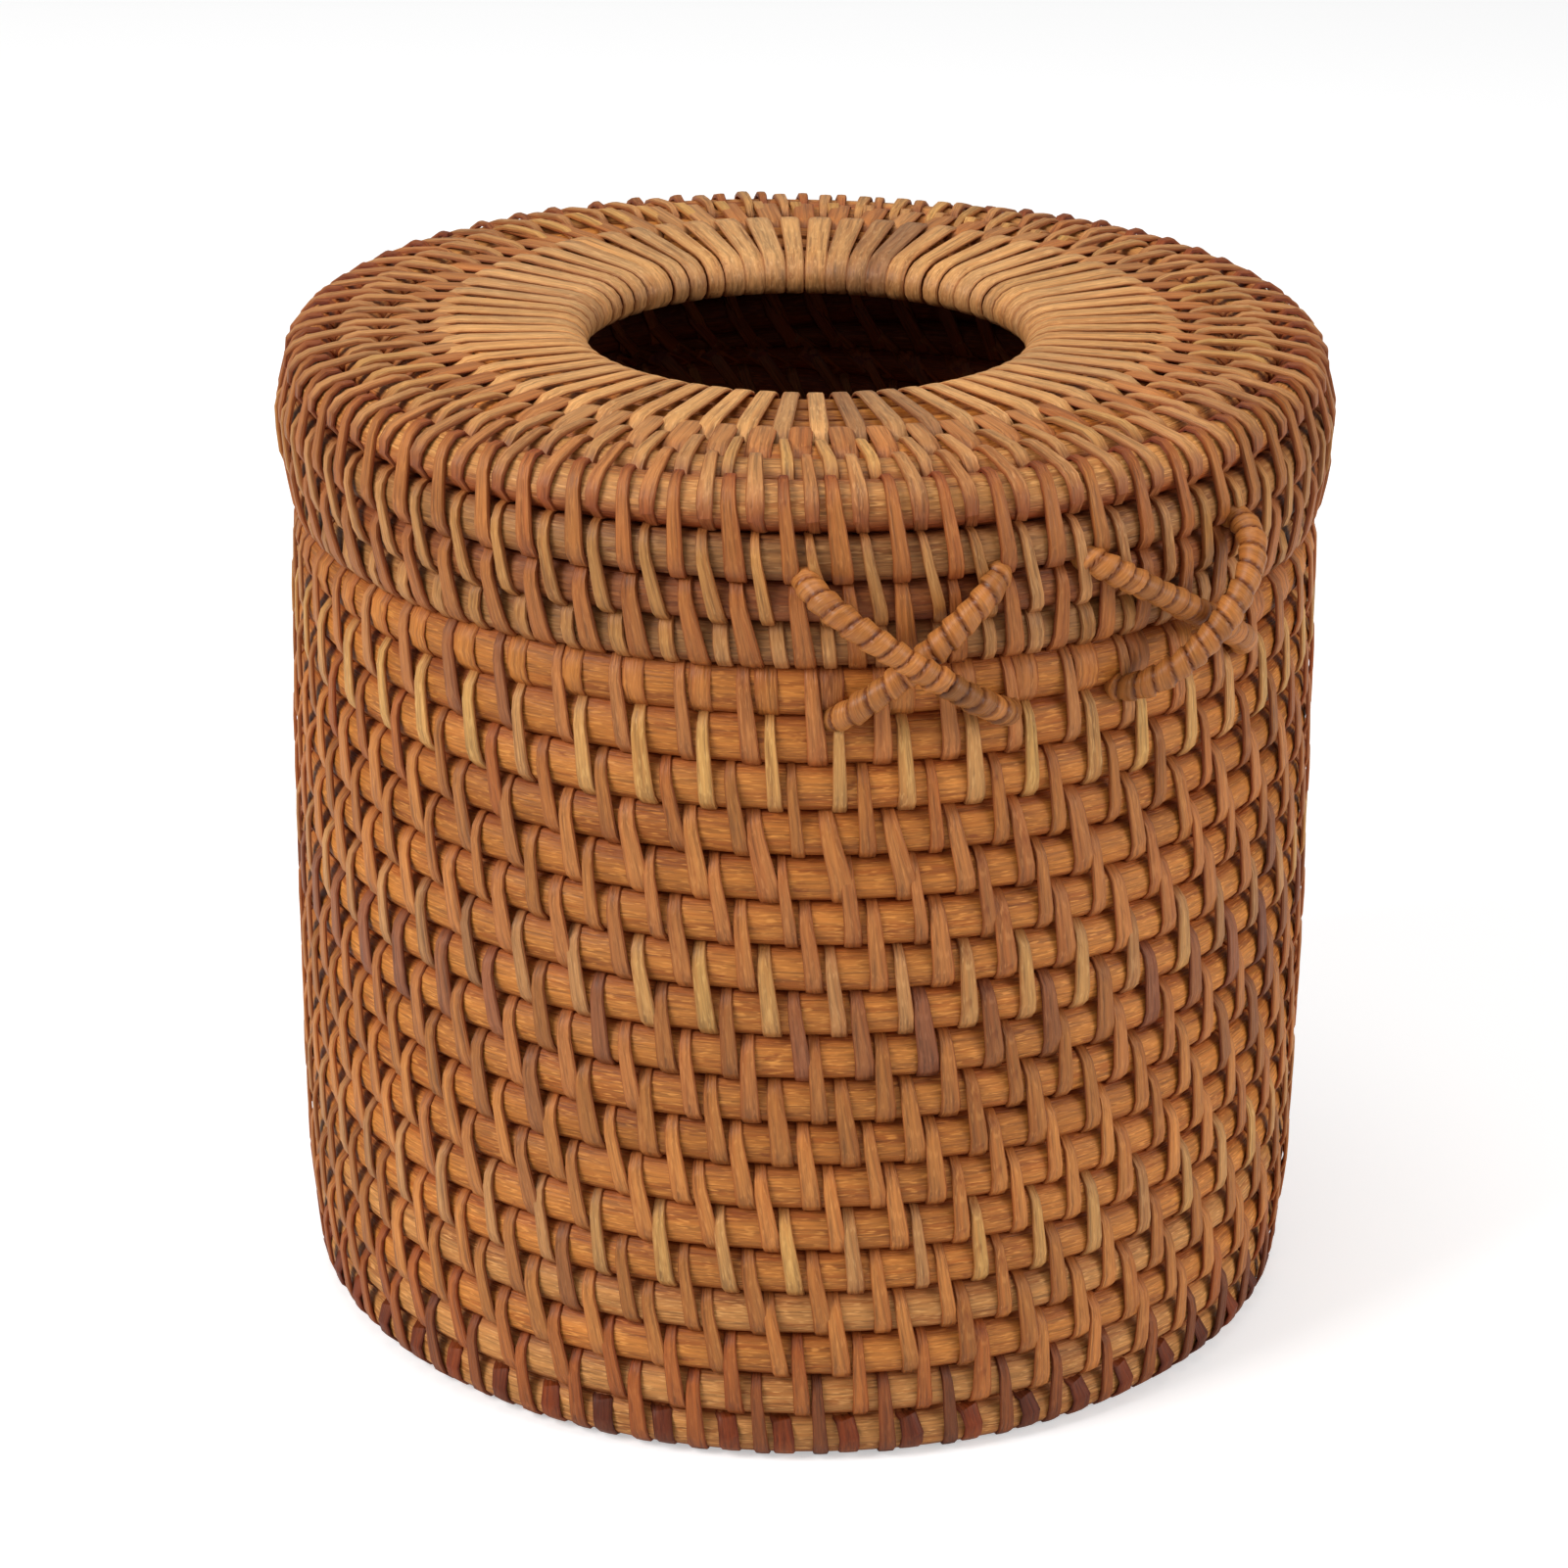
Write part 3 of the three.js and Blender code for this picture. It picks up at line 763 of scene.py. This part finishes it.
# The light dashes are pale fibres and partly painted glints, a painted highlight
PALE_FIBRE_AND_GLINT_TONE = (1.42, 1.62, 1.9, 1)
SMUDGE_TONE = (0.5, 0.3, 0.2, 1)
CLOUDS = 70.0


def cane_finish(name, lines, streaks, glints, roughness, bump, lean=None):
    """Cane whose fibres run along the piece, or round it where lean gives how far along it a turn
    moves for each millimetre round. lines, streaks and glints say how strongly the fine fibres, the
    broad darker streaks and the short light dashes between them show. The dashes are paler fibres
    and partly a painted highlight, glints on the cane."""
    finish = Finish(name)
    uv = finish.node("ShaderNodeUVMap", {"uv_map": "UVMap"})
    tone = finish.node("ShaderNodeAttribute", {"attribute_name": "tone"})
    place = finish.node("ShaderNodeTexCoord", output=3)
    across = finish.node("ShaderNodeSeparateXYZ", None, [uv])
    along = Shade(finish, across.socket.node.outputs[1])
    if lean is not None:
        across, along = along + across * lean, across

    def fibres(wide, long, layer, detail):
        spot = finish.node("ShaderNodeCombineXYZ", None, [across * (1 / wide), along * (1 / long), layer])
        values = {"Vector": spot, "Scale": 1.0, "Detail": detail, "Roughness": 0.6}
        return finish.node("ShaderNodeTexNoise", None, values)

    fine = fibres(*FINE_FIBRES)
    broad = fibres(*BROAD_STREAKS)
    dashes = fibres(*LIGHT_DASHES)
    smudges = fibres(*SMUDGES)
    values = {"Vector": place, "Scale": CLOUDS, "Detail": 3.0}
    cloud = finish.node("ShaderNodeTexNoise", None, values)
    light = finish.ramp(fine, [(0.3, 1 - lines), (0.5, 1.0), (0.7, 1 + lines * 0.6)])
    patch = finish.ramp(cloud, [(0.3, 0.92), (0.7, 1.07)])
    colour = finish.mix(1.0, tone, light, "MULTIPLY")
    colour = finish.mix(1.0, colour, patch, "MULTIPLY")
    deep = finish.mix(1.0, colour, STREAK_TONE, "MULTIPLY")
    colour = finish.mix(finish.ramp(broad, [(0.36, streaks), (0.5, 0.0)]), colour, deep)
    # Pale fibres, partly a painted highlight: glints on the cane
    pale = finish.mix(1.0, tone, PALE_FIBRE_AND_GLINT_TONE, "MULTIPLY")
    colour = finish.mix(finish.ramp(dashes, [(0.55, 0.0), (0.68, glints)]), colour, pale)
    flaw = finish.mix(1.0, tone, SMUDGE_TONE, "MULTIPLY")
    colour = finish.mix(finish.ramp(smudges, [(0.66, 0.0), (0.75, streaks)]), colour, flaw)
    values = {"Strength": bump, "Distance": 0.25 * MM, "Height": fine + dashes * 0.4}
    finish.set(
        Base_Color=colour,
        Roughness=fine * 0.2 + roughness,
        Specular_IOR_Level=0.32,
        Normal=finish.node("ShaderNodeBump", None, values),
    )
    return finish.material


rod_finish = cane_finish("cane_rod", lines=0.42, streaks=0.75, glints=0.85, roughness=0.42, bump=0.8)
strip_finish = cane_finish("cane_strip", lines=0.42, streaks=0.5, glints=0.45, roughness=0.4, bump=0.8)
cord_finish = cane_finish(
    "tie_cord", lines=0.34, streaks=0.4, glints=0.4, roughness=0.3, bump=0.5, lean=0.25
)


# The rods of the wall, the floor, the lid and the hub

WALL_TONES = [
    "sand", "sand", "golden", "sand", "golden", "golden", "golden", "amber", "golden",
    "golden", "golden", "golden", "golden", "amber", "amber", "golden", "amber", "amber",
]
LID_TONES = ["golden", "sand", "sand", "ash", "rust", "ash"]
WALL_RODS = ["lower", "middle", "upper"]
# The turns left between one rod of the wall and the next, and where the floor's rod and strip begin,
# in turns before its first course
ROD_CUT = 0.0006
FLOOR_ROD_LEAD = 1
FLOOR_STRIP_LEAD = 0.5

courses_each = wall.count // len(WALL_RODS)
for i, place in enumerate(WALL_RODS):
    first = -STEP_SHARE if i == 0 else i * courses_each + ROD_CUT
    turns = rod_turns(wall, first, (i + 1) * courses_each)
    turns[0] = max(turns[0], first)
    piece = rod(f"wall_cane_{place}", wall, turns, WALL_TONES, seed=10 + i)
    finished(piece, rod_finish, "wall_cane", "body", f"wall_coil_{place}")

turns = rod_turns(floor, -FLOOR_ROD_LEAD, floor.count, steps=64)
piece = rod("floor_cane", floor, turns, ["golden"] * floor.count, sides=8)
finished(piece, rod_finish, "wall_cane", "body", "floor_coil")

piece = rod("lid_cane", lid, rod_turns(lid, -STEP_SHARE, lid.count), LID_TONES, seed=21)
finished(piece, rod_finish, "lid_cane", "lid", "lid_coil")

piece = rod("hub_cane", hub, rod_turns(hub, -STEP_SHARE, hub.count), ["golden"] * hub.count, sides=8)
finished(piece, rod_finish, "lid_cane", "lid", "hub_coil")


# The strips of the wall, from the foot up, and of the lid, from the hub outwards. Widths are in
# millimetres, slants and shifts in shares of the way from one stitch to the next, and stains at angles.

WALL_ROWS = [
    dict(tone="russet", second="dark", width=2.4, slant=0.14),
    dict(tone="russet", second="tan", width=2.5, slant=0.16),
    dict(tone="tan", second="brown", width=2.6, slant=0.2),
    dict(tone="brown", second="tan", width=2.4, slant=0.19, stains=[-30]),
    dict(tone="grey", second="straw", width=2.3, slant=0.15),
    dict(tone="tan", second="rose", width=2.6, slant=0.2, stains=[-32]),
    dict(tone="tan", second="brown", width=2.4, slant=0.18),
    dict(tone="brown", second="tan", width=2.7, slant=0.2, stains=[-31, 58]),
    dict(tone="rose", second="brown", width=2.5, slant=0.16, stains=[60]),
    dict(tone="plum", second="brown", width=2.7, slant=0.15, stains=[62]),
    dict(tone="grey", second="straw", width=2.3, slant=0.16, stains=[-38, 58]),
    dict(tone="rose", second="tan", width=2.8, slant=0.2, stains=[60]),
    dict(tone="rose", second="brown", width=2.1, slant=0.18),
    dict(tone="tan", second="rose", width=2.8, slant=0.25, stains=[-36]),
    dict(tone="brown", second="russet", width=2.1, slant=0.23),
    dict(tone="straw", second="grey", width=2.3, slant=0.18),
    dict(tone="rose", second="grey", width=2.3, slant=0.18, stains=[-35]),
]
LID_ROWS = [
    dict(tone="grey", second="straw", width=1.9, slant=0.1),
    dict(tone="grey", second="rose", width=2.1, slant=0.12, shift=0.15),
    dict(tone="umber", second="brown", width=2.4, slant=0.18, shift=0.35),
    dict(tone="ochre", second="grey", width=2.0, slant=0.34, shift=0.46),
    dict(tone="umber", second="brown", width=2.6, slant=0.16, shift=0.77),
]

for k, look in enumerate(WALL_ROWS):
    look = dict(look, width=look["width"] * MM)
    start = k if k else -STEP_SHARE
    strip = sewn(f"wall_strip_{k + 1:02d}", between(wall, 1), start, k + 1, WALL_STITCHES, look, 100 + k)
    slot = "dark_strip" if k == 0 else "wall_strip"
    finished(strip, strip_finish, slot, "body", f"wall_binding_{k + 1:02d}")

rim = dict(tone="golden", second="rose", width=3.6 * MM, slant=0.06, shift=-0.3, run=OVER_ONE)
rim.update(up=upwards(wall), body=0.4 * MM, loose=0.4)
finish = wall.count - EDGE_STOP
strip = sewn("rim_strip", around(wall), wall.count - 1, finish, WALL_STITCHES, rim, 140)
finished(strip, strip_finish, "wall_strip", "body", f"wall_binding_{wall.count:02d}")

for k, look in enumerate(LID_ROWS):
    look = dict(look, width=look["width"] * MM, body=0.75 * MM, loose=1.3)
    start = k if k else -STEP_SHARE
    strip = sewn(f"lid_strip_{k + 2:02d}", between(lid, -1), start, k + 1, LID_STITCHES, look, 200 + k)
    finished(strip, strip_finish, "lid_strip", "lid", f"lid_binding_{k + 2:02d}")

edge = dict(tone="ochre", second="grey", width=2.2 * MM, slant=0.16, shift=0.03, run=OVER_ONE)
edge["up"] = upwards(lid)
finish = lid.count - EDGE_STOP
strip = sewn("lid_edge_strip", around(lid), lid.count - 1, finish, LID_STITCHES, edge, 240)
finished(strip, strip_finish, "lid_strip", "lid")


def hub_to_lid(turns):
    """The hub's outermost rod and the lid's innermost one."""
    outer, _, half = lid.middle(turns)
    inner = np.broadcast_to(np.array([HUB_LAST, HUB_CANE_Z]), outer.shape)
    wrapped = np.full(outer.shape, HUB_CANE / 2 + CLEARANCE)
    return inner, outer, wrapped, half


join = dict(tone="rose", second="grey", width=3.4 * MM, slant=0.03, shift=0.5, body=0.45 * MM, loose=0.4)
join["run"] = OVER_JOIN
strip = sewn("lid_strip_01", hub_to_lid, 0, 1, LID_STITCHES, join, 250)
finished(strip, strip_finish, "lid_strip", "lid", "lid_binding_01")

# The hub's strip rolls over the throat and the outer edge in flat curves
THROAT_ROLL = 5.2 * MM
HUB_EDGE_ROLL = 5 * MM
HUB_SQUARENESS = 2.2


def hub_ends(turns):
    """The throat and the outer edge of the hub, which its strip goes round."""
    shape = turns.shape + (2,)
    height = HUB_HALF_HEIGHT - STRIP_BODY
    throat_at = np.array([HOLE_RADIUS + STRIP_BODY + THROAT_ROLL, HUB_CANE_Z - HUB_DIP])
    inner = np.broadcast_to(throat_at, shape)
    outer = np.broadcast_to(np.array([HUB_RADIUS - HUB_EDGE_ROLL, HUB_CANE_Z]), shape)
    throat = np.broadcast_to(np.array([THROAT_ROLL, height]), shape)
    return inner, outer, throat, np.broadcast_to(np.array([HUB_EDGE_ROLL, height]), shape)


wrap = dict(tone="honey", second="pale", width=3.05 * MM, slant=0.0, run=ROUND_HUB, loose=0.4, painted_shade=0.3)
wrap.update(squareness=HUB_SQUARENESS, stains=[3, 9, 15, 160, 168], slimmer=0.1)
strip = sewn("hub_strip", hub_ends, 0, 1, LID_STITCHES, wrap, 260)
finished(strip, strip_finish, "hub_strip", "lid", "hub_wrap")


# The strips under the floor and round the foot


def foot_courses(turns):
    """The wall's lowest course and the floor's outermost ring."""
    outer, _, half = wall.middle(np.zeros_like(turns))
    inner, _, inner_half = floor.middle(np.full_like(turns, floor.count - 1.0))
    return outer, inner, half, inner_half


foot = dict(tone="dark", second="russet", width=3.4 * MM, slant=0.05, shift=-0.47, run=OVER_JOIN)
strip = sewn("foot_strip", foot_courses, 0, 1, WALL_STITCHES, foot, 300)
finished(strip, strip_finish, "dark_strip", "body", "floor_binding")

FEWEST_STITCHES = 7
under = dict(tone="rose", second="brown", width=2.4 * MM, slant=0.12)
for k in range(floor.count - 1):
    ring = FLOOR_FIRST + (k + 0.5) * FLOOR_PITCH
    per_turn = max(FEWEST_STITCHES, round(WALL_STITCHES * ring / FOOT_RADIUS))
    start = k if k else -FLOOR_STRIP_LEAD
    strip = sewn(f"floor_strip_{k + 1:02d}", between(floor, 1), start, k + 1, per_turn, under, 310 + k)
    finished(strip, strip_finish, "wall_strip", "body")


# Hinge ties

# How far a tie's upper run stands off the lid to clear the lower one, how far outside the rods' middle a
# run begins, how round its turns are inside, the courses at which it passes through lid and body, and
# the angles of its four passages, in degrees from the front
TIE_ACROSS = TIE_THICKNESS + 0.5 * MM
TIE_EXIT = 0.7 * MM
TIE_TURN = 4 * MM
TIE_UP_COURSES = 2.5
TIE_DOWN_COURSES = 1.5
LEFT_TIE = dict(over_up=0, over_down=21.5, under_down=3, under_up=20)
RIGHT_TIE = dict(over_up=50.5, over_down=35, under_down=55, under_up=29.5)
TIE_UP_PLACE = (LID_COUNT - TIE_UP_COURSES) * LID_PITCH
TIE_UP_Z = LID_TOP_CANE_Z - LID_CORNER - (TIE_UP_PLACE - LID_FLAT - LID_ARC)
TIE_DOWN_Z = FLOOR_CANE_Z + (wall.count - TIE_DOWN_COURSES) * wall.pitch
INSIDE_LID = LID_CANE_RADIUS - LID_CANE / 2 - 2 * CLEARANCE - STRIP_THICKNESS - TIE_THICKNESS / 2
INSIDE_BODY = wall_radius(TIE_DOWN_Z) - SLEEVE_GAP - STRIP_THICKNESS - CLEARANCE - TIE_THICKNESS / 2
EXIT_LID = LID_CANE_RADIUS + TIE_EXIT
EXIT_BODY = wall_radius(TIE_DOWN_Z) + TIE_EXIT


def bezier(points, count):
    """Points along the Bezier curve of some control points, without its ends."""
    share = np.linspace(0, 1, count + 1)[1:-1, None]
    points = [np.asarray(p) for p in points]
    while len(points) > 1:
        points = [a * (1 - share) + b * share for a, b in zip(points, points[1:])]
    return points[0]


def arch(start, finish, over_lid, count=24):
    """An arch between two exits, each [angle, radius, height], whose middle clears the lid."""
    a = polar(start[1], start[0], start[2])
    b = polar(finish[1], finish[0], finish[2])
    middle = (a + b) / 2
    raised = (LID_RADIUS + TIE_THICKNESS / 2 + over_lid - math.hypot(middle[0], middle[1])) * 4 / 3
    return bezier([a, a + polar(1, start[0], 0) * raised, b + polar(1, finish[0], 0) * raised, b], count)


def tie_route(over_up, over_down, under_down, under_up):
    """The cord's way: out of the lid, in through the body, along inside, out, and back into the lid."""
    across = math.copysign(1, under_down - over_down)
    inwards = math.copysign(1, under_up - over_up)
    in_up = INSIDE_LID + TIE_TURN
    in_down = INSIDE_BODY + TIE_TURN

    def beside(angle, radius, height, distance):
        return polar(radius, angle + math.degrees(distance / radius), height)

    def corner(a, at, b):
        return [a, *bezier([a, at, b], 8), b]

    lid_tail = TIE_TAIL + TIE_TURN
    return np.array([
        beside(over_up, INSIDE_LID, TIE_UP_Z, inwards * lid_tail),
        *corner(
            beside(over_up, INSIDE_LID, TIE_UP_Z, inwards * TIE_TURN),
            polar(INSIDE_LID, over_up, TIE_UP_Z),
            polar(in_up, over_up, TIE_UP_Z),
        ),
        polar(EXIT_LID, over_up, TIE_UP_Z),
        *arch((over_up, EXIT_LID, TIE_UP_Z), (over_down, EXIT_BODY, TIE_DOWN_Z), TIE_ACROSS + CLEARANCE),
        polar(EXIT_BODY, over_down, TIE_DOWN_Z),
        *corner(
            polar(in_down, over_down, TIE_DOWN_Z),
            polar(INSIDE_BODY, over_down, TIE_DOWN_Z),
            beside(over_down, INSIDE_BODY, TIE_DOWN_Z, across * TIE_TURN),
        ),
        *corner(
            beside(under_down, INSIDE_BODY, TIE_DOWN_Z, -across * TIE_TURN),
            polar(INSIDE_BODY, under_down, TIE_DOWN_Z),
            polar(in_down, under_down, TIE_DOWN_Z),
        ),
        polar(EXIT_BODY, under_down, TIE_DOWN_Z),
        *arch((under_down, EXIT_BODY, TIE_DOWN_Z), (under_up, EXIT_LID, TIE_UP_Z), CLEARANCE),
        polar(EXIT_LID, under_up, TIE_UP_Z),
        *corner(
            polar(in_up, under_up, TIE_UP_Z),
            polar(INSIDE_LID, under_up, TIE_UP_Z),
            beside(under_up, INSIDE_LID, TIE_UP_Z, -inwards * TIE_TURN),
        ),
        beside(under_up, INSIDE_LID, TIE_UP_Z, -inwards * lid_tail),
    ])


# A tie's cord: its stations, its sides and how often its way is eased
TIE_STATION = 0.26 * MM
TIE_SIDES = 16
TIE_EASING = 8
# The bands of its wrapping: their width, how they wander, by shares of a band and over what length, how
# much they differ in colour and size, the cord within them and their rise as shares of its radius, and,
# in shares of a band, how they step up, fall off and darken with painted shade in the groove between them
TIE_BAND = 2.8 * MM
BAND_WANDERS = [(0.16, 7 * MM), (0.1, 3.1 * MM)]
BAND_TONE_SPREAD = 0.13
BAND_SIZE_SPREAD = 0.03
CORD_CORE = 0.71
BAND_RISE = 0.32
BAND_STEP = 0.14
BAND_FALL = 0.45
BAND_FALL_FROM = 0.2
GROOVE_WIDTH = 0.1
GROOVE_SHADE_TONE = np.array([0.3, 0.16, 0.09])


def wrapped_cord(name, route, seed):
    """A cord wrapped in a flat strip, each turn lying a little over the last."""
    dice = random.Random(seed)
    walked = np.concatenate([[0], np.cumsum(np.linalg.norm(np.diff(route, axis=0), axis=1))])
    stations = np.linspace(0, walked[-1], round(walked[-1] / TIE_STATION))
    path = np.stack([np.interp(stations, walked, route[:, i]) for i in range(3)], axis=-1)
    for _ in range(TIE_EASING):
        path[1:-1] = (path[:-2] + 2 * path[1:-1] + path[2:]) / 4
    tangent = np.gradient(path, axis=0)
    tangent /= np.linalg.norm(tangent, axis=1, keepdims=True)
    side = np.cross([0, 0, 1], tangent[0])
    sides = []
    for t in tangent:
        side = side - t * side.dot(t)
        side /= np.linalg.norm(side)
        sides.append(side)
    sides = np.array(sides)
    other = np.cross(tangent, sides)
    angle = np.linspace(0, 2 * math.pi, TIE_SIDES, endpoint=False)
    wander = sum(far * np.sin(stations / length) for far, length in BAND_WANDERS)
    phase = stations[:, None] / TIE_BAND + angle[None, :] / (2 * math.pi) + wander[:, None]
    share = phase - np.floor(phase)
    # The wander can put a place before the first band, so the bands are counted from 2
    band = np.floor(phase).astype(int) + 2
    spreads = (BAND_TONE_SPREAD, BAND_SIZE_SPREAD)
    bands = np.array([[dice.gauss(1, s) for s in spreads] for _ in range(int(band.max()) + 1)])
    fall = smooth((share - BAND_FALL_FROM) / (1 - BAND_FALL_FROM))
    edge = smooth(share / BAND_STEP) * (1 - BAND_FALL * fall)
    ends = smooth(np.minimum(stations, stations[-1] - stations) / TIE_THICKNESS)
    radius = TIE_THICKNESS / 2 * (CORD_CORE + BAND_RISE * edge)
    radius = radius * bands[band, 1] * (0.5 + 0.5 * ends[:, None])
    around_path = np.cos(angle)[None, :, None] * sides[:, None, :]
    around_path = around_path + np.sin(angle)[None, :, None] * other[:, None, :]
    rings = path[:, None, :] + around_path * radius[:, :, None]
    # Painted shade in the groove between one band and the next
    groove_shade = np.exp(-((np.minimum(share, 1 - share) / GROOVE_WIDTH) ** 2))[:, :, None]
    tones = TONES["cord"] * bands[band, 0][:, :, None] * (1 - groove_shade * (1 - GROOVE_SHADE_TONE))
    return rolled(name, rings, tones, smooth_angle=60)


for name, tie in (("left_hinge_tie", LEFT_TIE), ("right_hinge_tie", RIGHT_TIE)):
    cord = wrapped_cord(f"{name}_cord", tie_route(**tie), 400 + tie["over_up"])
    finished(cord, cord_finish, "tie_cord", None, name)
    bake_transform(cord)


# Floor, light and camera

FLOOR_GLOW = 0.45
BACKDROP_LIGHT = 0.28

scene = bpy.context.scene
scene.view_settings.view_transform = "Standard"

deselect()
bpy.ops.mesh.primitive_plane_add(size=8)
ground = bpy.context.object
ground.name = "studio_floor"
paper = Finish("studio_paper")
seen = paper.node("ShaderNodeLightPath")
paper.set(Base_Color=(0.8, 0.8, 0.8, 1), Roughness=0.9, Emission_Color=(1, 1, 1, 1))
paper.set(Emission_Strength=seen * FLOOR_GLOW)
ground.data.materials.append(paper.material)

world = bpy.data.worlds.new("studio_world")
world.use_nodes = True
scene.world = world
backdrop = world.node_tree.nodes["Background"]
backdrop.inputs["Color"].default_value = (1, 1, 1, 1)
backdrop.inputs["Strength"].default_value = BACKDROP_LIGHT


def lamp(name, place, target, size, power):
    """A square soft light that faces a point."""
    light = bpy.data.lights.new(name, "AREA")
    light.size = size
    light.energy = power
    holder = bpy.data.objects.new(name, light)
    scene.collection.objects.link(holder)
    across, away, up = np.array(target) - np.array(place)
    tilt = math.atan2(math.hypot(across, away), -up)
    holder.location = place
    holder.rotation_euler = (tilt, 0, math.atan2(away, across) - math.pi / 2)


lamp("key", (-1.1, -0.68, 1.08), (0, 0, 0.07), 0.7, 19.2)
lamp("fill", (1.3, -0.55, 0.6), (0, 0, 0.07), 0.8, 9.5)
lamp("top", (0.0, 0.0, 1.3), (0, 0, 0.1), 0.7, 5)

camera = bpy.data.cameras.new("camera")
camera.sensor_width = SENSOR_WIDTH
camera.lens = FOCAL_PIXELS / PHOTO_SIZE * SENSOR_WIDTH
camera.shift_x = -(AXIS_PIXEL[0] - PHOTO_SIZE / 2) / PHOTO_SIZE
camera.shift_y = (AXIS_PIXEL[1] - PHOTO_SIZE / 2) / PHOTO_SIZE
viewer = bpy.data.objects.new("camera", camera)
scene.collection.objects.link(viewer)
viewer.location = CAMERA_PLACE
pitch = Matrix.Rotation(math.radians(90 - CAMERA_PITCH), 3, "X")
viewer.rotation_euler = (pitch @ Matrix.Rotation(math.radians(CAMERA_ROLL), 3, "Z")).to_euler()
scene.camera = viewer
